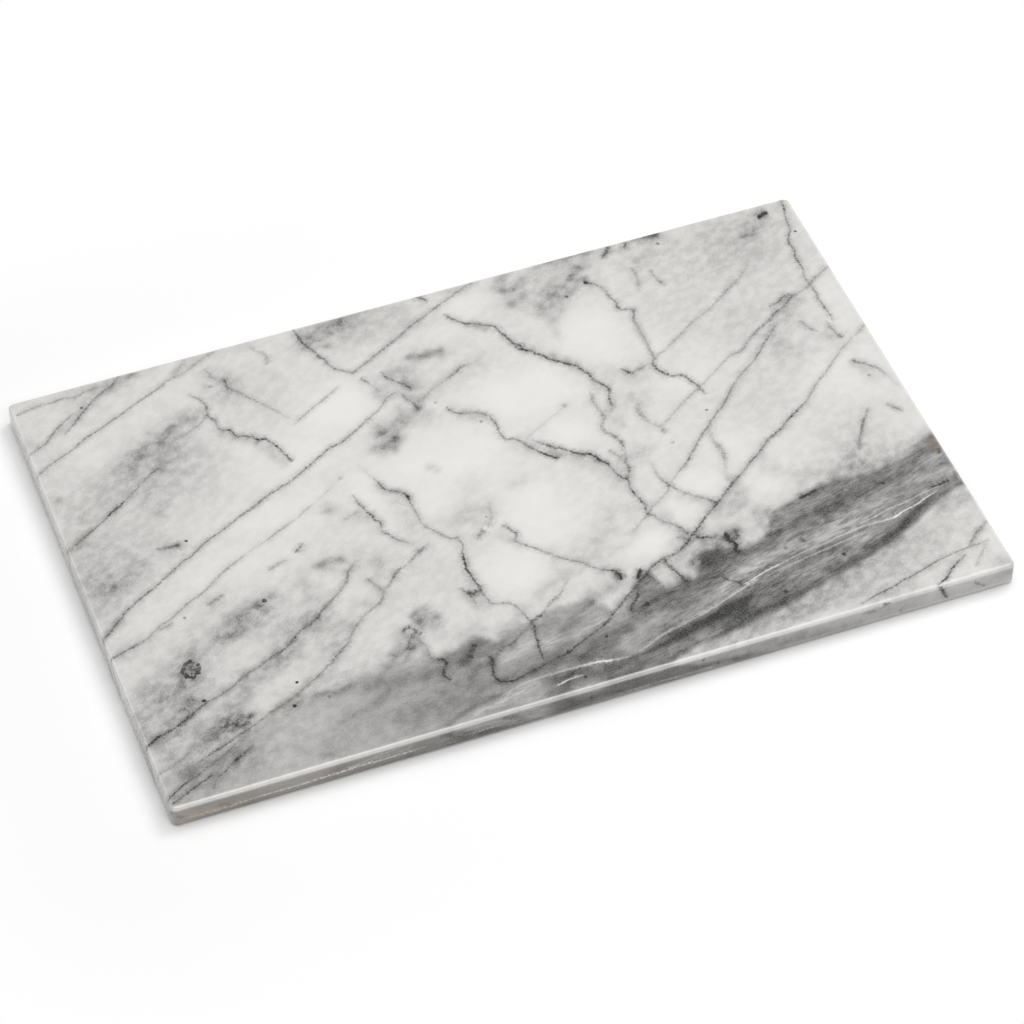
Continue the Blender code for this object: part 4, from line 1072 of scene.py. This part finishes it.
def roughen_lower_edge(flat, heights):
    """Breaks the stone back a little along the lower front edge, never outwards."""
    above = heights - SLAB_BOTTOM
    wall = (flat[:, 1] < CORNER_RADIUS - HALF_WIDTH) & (above < ROUGH_HEIGHT + 2 * ROUGH_EDGE)
    places = np.stack([flat[wall, 0], 2 * heights[wall]], 1)
    top = ROUGH_HEIGHT + wander(places, *ROUGH_RAGS)
    cut = smooth_step((top - above[wall]) / ROUGH_EDGE) * rough_length(flat[wall, 0])
    moved = flat.copy()
    moved[wall, 1] += ROUGH_DEPTH * cut * (CHIPS_MEAN + wander(places, *ROUGH_CHIPS))
    return moved


class SlabPlaces:
    """Where every vertex of the slab lies, in millimetres."""

    def __init__(self, flat, heights):
        self.x, self.y = flat.T
        self.above = heights - SLAB_BOTTOM
        self.depth = SLAB_TOP - heights
        self.face = np.stack([self.x, self.above], 1)
        self.to_ends = HALF_LENGTH - np.abs(self.x)
        # 1 where the front edge is the nearest edge of the board, 0 where another one is
        other = np.minimum(self.to_ends, HALF_WIDTH - self.y)
        self.facing = smooth_step((other - self.y - HALF_WIDTH) / CORNER_BLEND + 0.5)
        # In the leaning stone, and with the lines that turn down over the front edge
        lean = VEIN_LEAN * self.depth
        self.stone = np.stack([self.x, self.y + lean], 1)
        self.lines = np.stack([self.x, self.y + lean * (1 - 2 * self.facing)], 1)

    def on_front(self):
        """Which vertices belong to the front face."""
        return (self.y < FRONT_SKIN - HALF_WIDTH) & (self.to_ends > CORNER_RADIUS / 2)

    def on_front_wall(self):
        """1 on the front wall below the top round, 0 elsewhere, with an eased start."""
        return self.facing * smooth_step(self.depth / TOP_ROUND - WALL_FROM)


def write_attribute(mesh, name, values):
    """Stores one number or one set of three numbers at every vertex."""
    kind, field = ("FLOAT", "value") if values.ndim == 1 else ("FLOAT_VECTOR", "vector")
    layer = mesh.attributes.new(name, kind, "POINT")
    layer.data.foreach_set(field, np.ascontiguousarray(values, dtype=np.float32).ravel())


def draw_veins(mesh, at):
    """Draws the dark veins in layers, and returns how clear their soft halos leave the stone."""
    layers = [Layer(at.lines) for _ in range(VEIN_LAYERS)]
    lines = [line_rows(half_width, points) for half_width, points in VEINS]
    for line in sorted(lines, key=len, reverse=True):
        rooms = [layer.room(line) for layer in layers]
        free = [index for index, room in enumerate(rooms) if room > LAYER_SPACING]
        layers[free[0] if free else int(np.argmax(rooms))].draw(line)
    clear = 1.0
    for index, layer in enumerate(layers):
        write_attribute(mesh, f"veins_{index + 1}", layer.marks())
        clear = clear * (1 - layer.halo())
    return clear


def draw_lines(mesh, name, places, lines, allowed=True):
    """Draws a set of lines that needs only one layer."""
    layer = Layer(places)
    for line in lines:
        layer.draw(line, allowed)
    write_attribute(mesh, name, layer.marks())


def draw_grains(mesh, places):
    """Stores the offset from the nearest grain in its own radii, and its darkness."""
    grains = np.array(GRAINS, float)
    steps = places[:, None] - grains[None, :, :2]
    gaps = np.hypot(steps[..., 0], steps[..., 1]) - grains[:, 2]
    chosen = gaps.argmin(1)
    vertex = np.arange(len(places))
    near = gaps[vertex, chosen] < LINE_REACH
    offset = np.where(near[:, None], steps[vertex, chosen] / grains[chosen, 2][:, None], LINE_REACH)
    write_attribute(mesh, "grains", np.column_stack([offset, near * grains[chosen, 3] / 100]))


def draw_edges(mesh, at):
    """Stores the painted highlight on the top arris, the painted bounce light low on the front wall, the
    iron stain and the rough strip.
    """
    # Painted highlight: the top arris is paler, most of all along the front edge
    across = along_x(ARRIS_HIGHLIGHT_ACROSS, at.depth / TOP_ROUND)
    along = ARRIS_HIGHLIGHT_ELSEWHERE + at.facing * (along_x(ARRIS_HIGHLIGHT_FRONT, at.x) - ARRIS_HIGHLIGHT_ELSEWHERE)
    # Painted bounce light: the foot of the front wall is paler
    lower = at.facing * along_x(LOWER_EDGE_BOUNCE_FRONT, at.x) * smooth_step(1 - at.above / LOWER_EDGE_BOUNCE_HEIGHT)
    to_edge = np.minimum(at.to_ends, HALF_WIDTH - np.abs(at.y))
    arris = np.where(to_edge < TOP_ROUND + 0.01, np.maximum(across * along, lower), 0)
    write_attribute(mesh, "arris", arris)

    x, height, half_x, half_height, percent = IRON_STAIN
    reach = np.hypot((at.x - x) / half_x, (at.above - height) / half_height)
    write_attribute(mesh, "iron", np.where(at.on_front(), percent / 100 * np.exp(-(reach**2)), 0))
    lower = smooth_step((ROUGH_HEIGHT - at.above) / ROUGH_TINT_EDGE + 0.5)
    rough = np.where(at.y < 1 - HALF_WIDTH, rough_length(at.x) * lower, 0)
    write_attribute(mesh, "rough_strip", rough)


def draw_pattern(mesh, flat, heights):
    """Draws veins, clouds, grains and stains into the slab's vertices."""
    at = SlabPlaces(flat, heights)
    clear = draw_veins(mesh, at)
    for name, lines in (("pale_lines", PALE_LINES), ("faint_pale_lines", FAINT_PALE_LINES)):
        draw_lines(mesh, name, at.lines, map(smooth_line, lines))
    for name, marks in (("front_marks", FRONT_MARKS), ("front_bruises", FRONT_BRUISES)):
        draw_lines(mesh, name, at.face, (line_rows(*mark) for mark in marks), at.on_front())
    draw_grains(mesh, at.stone)
    draw_edges(mesh, at)

    clear = clear * (1 - soft_cover(at.stone, CLOUDS)) * (1 - area_cover(at.stone, GREY_AREAS))
    clear *= 1 - GENERAL_GREY / 100 * (1 - area_cover(at.stone, WHITE_PLACES))
    # Painted shade: the front wall is darkened
    clear *= 1 - FRONT_WALL_PAINTED_SHADE / 100 * at.on_front_wall()
    clear *= 1 - streaks_cover(at.stone, BAND_STREAKS)
    warmth = at.on_front_wall() * along_x(FRONT_WARMTH, at.x)
    # The soft grey cover below also holds the front wall's painted shade
    for name, values in (
        ("clouds_and_painted_shade", 1 - clear),
        ("band", band_cover(at.stone)),
        ("paler", soft_cover(at.stone, PALE_PLACES)),
        ("flow", at.stone[:, 1] - along_x(BAND_FLOW, at.x)),
        ("rust", np.maximum(soft_cover(at.stone, RUSTY_PLACES), warmth)),
    ):
        write_attribute(mesh, name, values)


def unfold(mesh, flat, unfolded, upper_faces):
    """One map for the whole slab: the top and sides unfolded round it, the underside beside them."""
    spread = np.abs(unfolded).max(0)
    scale = 0.98 / (2 * spread[0])
    vertex = np.zeros(len(mesh.loops), int)
    mesh.loops.foreach_get("vertex_index", vertex)
    first_underside = mesh.polygons[upper_faces].loop_start
    upper, under = np.split(vertex, [first_underside])
    start = 0.02 + 2 * spread[1] * scale
    small = (0.99 - start) / (2 * HALF_WIDTH)
    places = np.vstack([
        unfolded[upper] * scale + (0.5, 0.01 + spread[1] * scale),
        flat[under] * small + (0.5, start + HALF_WIDTH * small),
    ])
    layer = mesh.uv_layers.new(name="OFBake")
    layer.data.foreach_set("uv", places.astype(np.float32).ravel())


class Nodes:
    """Short calls that add nodes to one node tree and wire them up."""

    def __init__(self, tree):
        self.tree = tree

    def feed(self, socket, value):
        """Links a socket, or sets a number or colour on it."""
        if isinstance(value, bpy.types.NodeSocket):
            self.tree.links.new(value, socket)
        else:
            socket.default_value = value

    def add(self, kind, inputs=(), **settings):
        """Adds a node with its settings, and feeds its inputs by name or number."""
        node = self.tree.nodes.new(kind)
        for key, value in settings.items():
            setattr(node, key, value)
        for label, value in dict(inputs).items():
            self.feed(node.inputs[label], value)
        return node

    def math(self, operation, *values, clamp=False):
        node = self.add("ShaderNodeMath", enumerate(values), operation=operation, use_clamp=clamp)
        return node.outputs[0]

    def times(self, first, second, clamp=False):
        return self.math("MULTIPLY", first, second, clamp=clamp)

    def less(self, first, second):
        return self.math("SUBTRACT", first, second)

    def plus(self, base, value, amount, clamp=False):
        """The base plus an amount of a value."""
        return self.math("MULTIPLY_ADD", value, amount, base, clamp=clamp)

    def covered(self, clear, mask):
        """What stays clear under a mask."""
        return self.times(clear, self.less(1.0, mask))

    def towards(self, clear, goal, share):
        """A value moved by a share of the way towards a goal."""
        return self.plus(clear, self.less(goal, clear), share)

    def vector(self, operation, *values):
        node = self.add("ShaderNodeVectorMath", enumerate(values), operation=operation)
        return node.outputs["Value" if operation == "LENGTH" else "Vector"]

    def scaled(self, vector, factor):
        return self.add("ShaderNodeVectorMath", {0: vector, "Scale": factor}, operation="SCALE").outputs[0]

    def split(self, vector):
        return self.add("ShaderNodeSeparateXYZ", {0: vector}).outputs

    def join(self, x, y, z=0.0):
        return self.add("ShaderNodeCombineXYZ", enumerate((x, y, z))).outputs[0]

    def ramp(self, value, low, high, start=0.0, end=1.0, kind="SMOOTHSTEP"):
        inputs = {"Value": value, "From Min": low, "From Max": high, "To Min": start, "To Max": end}
        return self.add("ShaderNodeMapRange", inputs, interpolation_type=kind).outputs["Result"]

    def noise(self, vector, scale, detail, roughness):
        inputs = {"Vector": vector, "Scale": scale, "Detail": detail, "Roughness": roughness}
        return self.add("ShaderNodeTexNoise", inputs).outputs["Fac"]

    def swing(self, vector, noise_sizes):
        """Noise about zero."""
        return self.less(self.noise(vector, *noise_sizes), 0.5)

    def cells(self, vector):
        """Distance from the middle of the nearest cell."""
        inputs = {"Vector": vector, "Scale": CELL_DENSITY}
        return self.add("ShaderNodeTexVoronoi", inputs, feature="F1").outputs["Distance"]

    def mix(self, share, first, second):
        return self.add("ShaderNodeMix", {0: share, 6: first, 7: second}, data_type="RGBA").outputs[2]

    def bump(self, strength, depth, height):
        inputs = {"Strength": strength, "Distance": depth * MM, "Height": height}
        return self.add("ShaderNodeBump", inputs).outputs[0]

    def place(self, group, **inputs):
        return self.add("ShaderNodeGroup", inputs, node_tree=group).outputs

    def attribute(self, name, output="Fac"):
        return self.add("ShaderNodeAttribute", attribute_name=name).outputs[output]


def new_group(name, inputs, outputs):
    """A shader node group whose inputs are numbers, or vectors where no number is given."""
    group = bpy.data.node_groups.new(name, "ShaderNodeTree")
    for label, value in inputs.items():
        kind = "NodeSocketVector" if value is None else "NodeSocketFloat"
        socket = group.interface.new_socket(label, in_out="INPUT", socket_type=kind)
        if value is not None:
            socket.default_value = value
    for label in outputs:
        group.interface.new_socket(label, in_out="OUTPUT", socket_type="NodeSocketFloat")
    n = Nodes(group)
    return n, n.add("NodeGroupInput").outputs, n.add("NodeGroupOutput").inputs


def vein_group():
    """A wandering, broken mineral line from a side distance, a half width and a darkness."""
    n, given, result = new_group(
        "vein_line", {"Line": None, "Place": None, "Wander": 0.5, "Breaks": 0.5, "Halo": 0.2}, ("Mask",))
    side, half_width, darkness = n.split(given["Line"])
    place = given["Place"]
    bend = n.plus(n.times(n.swing(place, VEIN_DRIFT), DRIFT_BEND), n.swing(place, VEIN_SHAKE), SHAKE_BEND)
    gap = n.math("ABSOLUTE", n.plus(side, bend, given["Wander"]))
    swell = n.ramp(n.noise(place, *VEIN_SWELLING), *LINE_SWELL)
    ratio = n.math("DIVIDE", gap, n.math("MAXIMUM", n.times(half_width, swell), 0.05))
    core = n.ramp(ratio, *LINE_CORE)
    broken = n.ramp(n.noise(place, *VEIN_GAPS), *LINE_BROKEN)
    loose = n.times(given["Breaks"], n.ramp(darkness, *LINE_LOOSE))
    kept = n.plus(1.0, n.less(broken, 0.62), loose)
    dust = n.times(n.ramp(ratio, *LINE_DUST), given["Halo"])
    halo = n.times(dust, n.ramp(n.noise(place, *VEIN_DUST), *DUST_PATCHES))
    cover = n.math("MAXIMUM", n.times(core, kept), halo)
    n.feed(result["Mask"], n.times(cover, darkness, clamp=True))
    return n.tree


def mottle_group():
    """Breaks a soft grey cover into feathery flecks without changing its average much."""
    n, given, result = new_group("mottled_cover", {"Cover": 0.0, "Place": None, "Depth": 1.0}, ("Mask",))
    coarse = n.ramp(n.noise(given["Place"], *COARSE_MOTTLE), *BOTH_WAYS)
    fine = n.ramp(n.noise(given["Place"], *FINE_MOTTLE), *BOTH_WAYS)
    swing = n.plus(1.0, n.plus(n.times(coarse, COARSE_SWING), fine, FINE_SWING), given["Depth"])
    n.feed(result["Mask"], n.times(given["Cover"], swing, clamp=True))
    return n.tree


def grain_group():
    """Fine grain for stone, rubber and film: a mask round 0.5 and a height for bumps."""
    n, given, result = new_group("fine_grain", {"Place": None, "Size": 1.0}, ("Mask", "Height"))
    place = n.scaled(given["Place"], n.math("DIVIDE", 1.0, given["Size"]))
    cells = n.cells(place)
    n.feed(result["Mask"], n.plus(n.noise(place, *GRAIN_NOISE), n.less(cells, 0.5), 0.3))
    n.feed(result["Height"], cells)
    return n.tree


def new_material(name):
    """A material with the helper that adds nodes to it and its Principled shader."""
    material = bpy.data.materials.new(name)
    material.use_nodes = True
    tree = material.node_tree
    return material, Nodes(tree), tree.nodes["Principled BSDF"]


def millimetres(n):
    """Object coordinates in millimetres."""
    return n.scaled(n.add("ShaderNodeTexCoord").outputs["Object"], 1 / MM)


def cloudy_stone(n, place, flow, mottled_cover, grained):
    """How clear the clouds, the grey band and its streaks leave the stone."""
    x, _, z = n.split(place)
    broad = n.ramp(n.noise(flow, *BROAD_STREAKS), *BOTH_WAYS)
    thin = n.ramp(n.noise(flow, *THIN_STREAKS), *THIN_BOTH_WAYS)
    streaks = n.plus(n.times(broad, BROAD_SWING), thin, THIN_SWING)
    streaks = n.times(streaks, n.ramp(x, *STREAKS_BY_X))

    # The walls and the band are calmer than the top
    calm = n.ramp(z, *CALM_BY_HEIGHT)
    in_band = n.ramp(n.attribute("band"), *CALM_IN_BAND)
    # The soft grey cover includes the front wall's painted shade
    clouds_and_painted_shade = n.place(
        mottled_cover, Cover=n.attribute("clouds_and_painted_shade"), Place=grained, Depth=n.times(calm, in_band))["Mask"]
    band = n.place(
        mottled_cover, Cover=n.attribute("band"), Place=grained, Depth=n.times(calm, BAND_MOTTLE))["Mask"]
    streaky = n.times(band, n.math("ADD", streaks, 1.0), clamp=True)
    clear = n.covered(n.less(1.0, clouds_and_painted_shade), streaky)
    patches = n.ramp(n.noise(flow, *PALE_STREAKS), *PALE_PATCHES)
    paler = n.times(n.attribute("paler"), patches)
    return n.towards(clear, PALE_PLACE_CLEAR, n.times(paler, PALE_PLACE_SHARE))


def lined_stone(n, place, clear, vein_line):
    """Adds crisp dark lines, grains over them, then the pale hairlines and the dotted bruises."""
    def line_mask(name, style):
        return n.place(vein_line, Line=n.attribute(name, "Vector"), Place=place, **style)["Mask"]

    for index in range(VEIN_LAYERS):
        clear = n.covered(clear, line_mask(f"veins_{index + 1}", VEIN_STYLE))
    clear = n.covered(clear, line_mask("front_marks", MARK_STYLE))
    across, up, darkness = n.split(n.attribute("grains", "Vector"))
    radii = n.vector("LENGTH", n.join(across, up))
    ragged = n.plus(radii, n.swing(place, GRAIN_OUTLINE), 1.2)
    clear = n.covered(clear, n.times(n.ramp(ragged, *GRAIN_CORE), darkness))
    for name in ("pale_lines", "faint_pale_lines"):
        clear = n.towards(clear, HAIRLINE_CLEAR, line_mask(name, HAIRLINE_STYLE))
    dotted = n.ramp(n.cells(place), *BRUISE_DOTS)
    bruises = n.times(line_mask("front_bruises", BRUISE_STYLE), dotted)
    return n.towards(clear, BRUISE_CLEAR, bruises)


def marble_material(vein_line, mottled_cover, fine_grain):
    """White polished marble with grey veins, clouds and one dark streaky band."""
    material, n, shader = new_material("veined_marble")
    place = millimetres(n)
    grained = n.add("ShaderNodeMapping", {
        "Vector": place,
        "Rotation": (0.0, 0.0, math.radians(GRAIN_SLANT)),
        "Scale": (GRAIN_STRETCH, 1.0, 1.0),
    }, vector_type="TEXTURE").outputs[0]
    x, _, z = n.split(place)
    # Streaks follow the band's own flow lines
    flow = n.join(*map(n.times, (x, n.attribute("flow"), z), STREAK_STRETCH))
    clear = cloudy_stone(n, place, flow, mottled_cover, grained)
    clear = lined_stone(n, place, clear, vein_line)

    # Crystals show as a faint grain, stronger in the dark stone
    crystal = n.place(fine_grain, Place=place, Size=CRYSTAL_SIZE)
    dark_share = n.less(1.0, clear)
    clear = n.plus(clear, n.less(crystal["Mask"], 0.5), n.plus(WHITE_CRYSTALS, dark_share, DARK_CRYSTALS))
    clear = n.plus(clear, n.swing(grained, STONE_HAZE), HAZE_SWING, clamp=True)
    clear = n.plus(clear, n.attribute("rough_strip"), -0.05, clamp=True)
    # Painted highlight on the top arris and painted bounce light at the foot of the front wall, laid in as
    # paler stone
    clear = n.plus(clear, n.attribute("arris"), n.plus(PAINTED_EDGE_LIGHT_GAIN, clear, PAINTED_EDGE_LIGHT_LOSS))

    colour = n.mix(clear, DARK_STONE, WHITE_STONE)
    rust = n.times(n.attribute("rust"), n.less(1.0, clear), clamp=True)
    colour = n.mix(n.times(rust, 1.1, clamp=True), colour, RUST_TINT)
    stain = n.ramp(n.noise(place, *IRON_PATCHES), *IRON_BLOTCHES)
    colour = n.mix(n.times(n.attribute("iron"), stain, clamp=True), colour, IRON_TINT)
    n.feed(shader.inputs["Base Color"], colour)

    # Polish: glossy on top, duller on the rough strip and underneath
    polish = n.ramp(z, *ROUGHNESS_BY_HEIGHT)
    polish = n.plus(polish, n.swing(place, POLISH_PATCHES), 0.12)
    polish = n.plus(polish, n.attribute("rough_strip"), 0.3)
    n.feed(shader.inputs["Roughness"], n.plus(polish, dark_share, -0.04))
    n.feed(shader.inputs["IOR"], 1.5)
    n.feed(shader.inputs["Specular IOR Level"], 0.38)
    broken = n.times(n.attribute("rough_strip"), n.noise(place, *ROUGH_STONE))
    surface = n.plus(n.times(crystal["Height"], 0.12), n.noise(place, *POLISH_WAVES), 0.5)
    n.feed(shader.inputs["Normal"], n.bump(0.35, 0.02, n.plus(surface, broken, 6.0)))
    return material


def rubber_material(fine_grain):
    """Matt grey die-cut rubber with a fine dusty grain."""
    material, n, shader = new_material("grey_rubber")
    place = millimetres(n)
    grain = n.place(fine_grain, Place=place, Size=0.35)
    patches = n.noise(place, *RUBBER_PATCHES)
    share = n.plus(n.times(patches, 0.5), grain["Mask"], 0.5, clamp=True)
    n.feed(shader.inputs["Base Color"], n.mix(share, *RUBBER_SHADES))
    n.feed(shader.inputs["Roughness"], n.plus(0.5, grain["Mask"], 0.25))
    n.feed(shader.inputs["Normal"], n.bump(0.5, 0.03, grain["Height"]))
    return material


def adhesive_material(fine_grain):
    """Milky acrylic film with a few cloudy patches."""
    material, n, shader = new_material("milky_adhesive")
    place = millimetres(n)
    grain = n.place(fine_grain, Place=place, Size=1.2)
    patches = n.ramp(n.noise(place, *FILM_PATCHES), *FILM_CLOUDS)
    share = n.plus(n.times(patches, 0.7), grain["Mask"], 0.3, clamp=True)
    n.feed(shader.inputs["Base Color"], n.mix(share, *FILM_SHADES))
    n.feed(shader.inputs["Roughness"], n.plus(0.35, patches, 0.2))
    return material


def add_object(name, data):
    """Puts a mesh, a camera or a lamp into the scene."""
    result = bpy.data.objects.new(name, data)
    bpy.context.collection.objects.link(result)
    return result


def make_slab(material):
    """The whole slab: fine mesh, drawn pattern, unfolded map and stone."""
    flat, heights, upper_faces, underside, unfolded = slab_shape()
    moved = roughen_lower_edge(flat, heights)
    mesh = bpy.data.meshes.new("polished_slab")
    vertices = np.column_stack([moved, heights]) * MM
    mesh.from_pydata(vertices.tolist(), [], upper_faces + underside)
    mesh.shade_smooth()
    draw_pattern(mesh, flat, heights)
    unfold(mesh, moved, unfolded, len(upper_faces))
    mesh.materials.append(material)
    piece = add_object("polished_slab", mesh)
    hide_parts("marble_slab")
    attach(piece, "root")


def dress_node(name, material):
    """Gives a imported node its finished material."""
    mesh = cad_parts[name].data
    mesh.materials.clear()
    mesh.materials.append(material)


def make_floor():
    """The white table that the board stands on."""
    half = FLOOR_HALF
    mesh = bpy.data.meshes.new("white_table")
    corners = [(-half, -half, 0), (half, -half, 0), (half, half, 0), (-half, half, 0)]
    mesh.from_pydata(corners, [], [(0, 1, 2, 3)])
    material, n, shader = new_material("white_table")
    n.feed(shader.inputs["Base Color"], TABLE_WHITE)
    n.feed(shader.inputs["Roughness"], 0.9)
    n.feed(shader.inputs["Specular IOR Level"], 0.0)

    # Away from the board the camera sees the plain white of the backdrop
    reach = n.vector("SUBTRACT", n.vector("ABSOLUTE", millimetres(n)), (HALF_LENGTH, HALF_WIDTH, 0.0))
    beyond = n.vector("LENGTH", n.vector("MAXIMUM", reach, (0.0, 0.0, 0.0)))
    seen = n.add("ShaderNodeLightPath").outputs["Is Camera Ray"]
    backdrop = n.add("ShaderNodeEmission", {"Strength": 1.0}).outputs[0]
    share = n.times(n.ramp(beyond, *FLOOR_FADE), seen)
    blend = n.add("ShaderNodeMixShader", enumerate((share, shader.outputs[0], backdrop))).outputs[0]
    n.feed(material.node_tree.nodes["Material Output"].inputs["Surface"], blend)
    mesh.materials.append(material)
    add_object("white_table", mesh)


def make_camera():
    """The camera where the photograph was taken from."""
    azimuth, elevation, roll = map(math.radians, (CAMERA_AZIMUTH, CAMERA_ELEVATION, CAMERA_ROLL))
    back = Vector((
        math.sin(azimuth) * math.cos(elevation),
        -math.cos(azimuth) * math.cos(elevation),
        math.sin(elevation),
    ))
    right = Vector((0, 0, 1)).cross(back).normalized()
    up = back.cross(right)
    turned_right = math.cos(roll) * right + math.sin(roll) * up
    turned_up = -math.sin(roll) * right + math.cos(roll) * up
    data = bpy.data.cameras.new("photograph_view")
    data.sensor_width = SENSOR_WIDTH
    data.lens = LENS
    camera = add_object("photograph_view", data)
    turn = Matrix((turned_right, turned_up, back)).transposed().to_4x4()
    camera.matrix_world = Matrix.Translation(CAMERA_AIM + back * CAMERA_DISTANCE) @ turn
    bpy.context.scene.camera = camera


def make_light():
    """A sky that is brightest overhead, one softbox behind the board and a weaker one in front."""
    world = bpy.data.worlds.new("soft_sky")
    world.use_nodes = True
    n = Nodes(world.node_tree)
    sky = world.node_tree.nodes["Background"]
    n.feed(sky.inputs["Color"], (1.0, 1.0, 1.0, 1.0))
    up = n.split(n.add("ShaderNodeTexCoord").outputs["Generated"])[2]
    height = n.math("POWER", n.math("MAXIMUM", up, 0.0), 3.0)
    level = n.ramp(height, 0.0, 1.0, HORIZON_LEVEL, ZENITH_LEVEL, "LINEAR")
    seen = n.add("ShaderNodeLightPath").outputs["Is Camera Ray"]
    n.feed(sky.inputs["Strength"], n.ramp(seen, 0.0, 1.0, level, 1.0, "LINEAR"))
    bpy.context.scene.world = world
    for name, place, size, power in SOFTBOXES:
        data = bpy.data.lights.new(name, "AREA")
        data.shape = "RECTANGLE"
        data.size, data.size_y = size
        data.energy = power
        lamp = add_object(name, data)
        lamp.location = place
        lamp.rotation_euler = (-Vector(place)).to_track_quat("-Z", "Y").to_euler()


def main():
    """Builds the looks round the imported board."""
    bpy.context.scene.view_settings.view_transform = "Standard"
    make_camera()
    make_light()
    make_floor()
    fine_grain = grain_group()
    make_slab(marble_material(vein_group(), mottle_group(), fine_grain))
    finishes = {"foot": rubber_material(fine_grain), "adhesive": adhesive_material(fine_grain)}
    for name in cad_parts:
        kind = name.split("_")[0]
        if kind in finishes:
            dress_node(name, finishes[kind])


main()
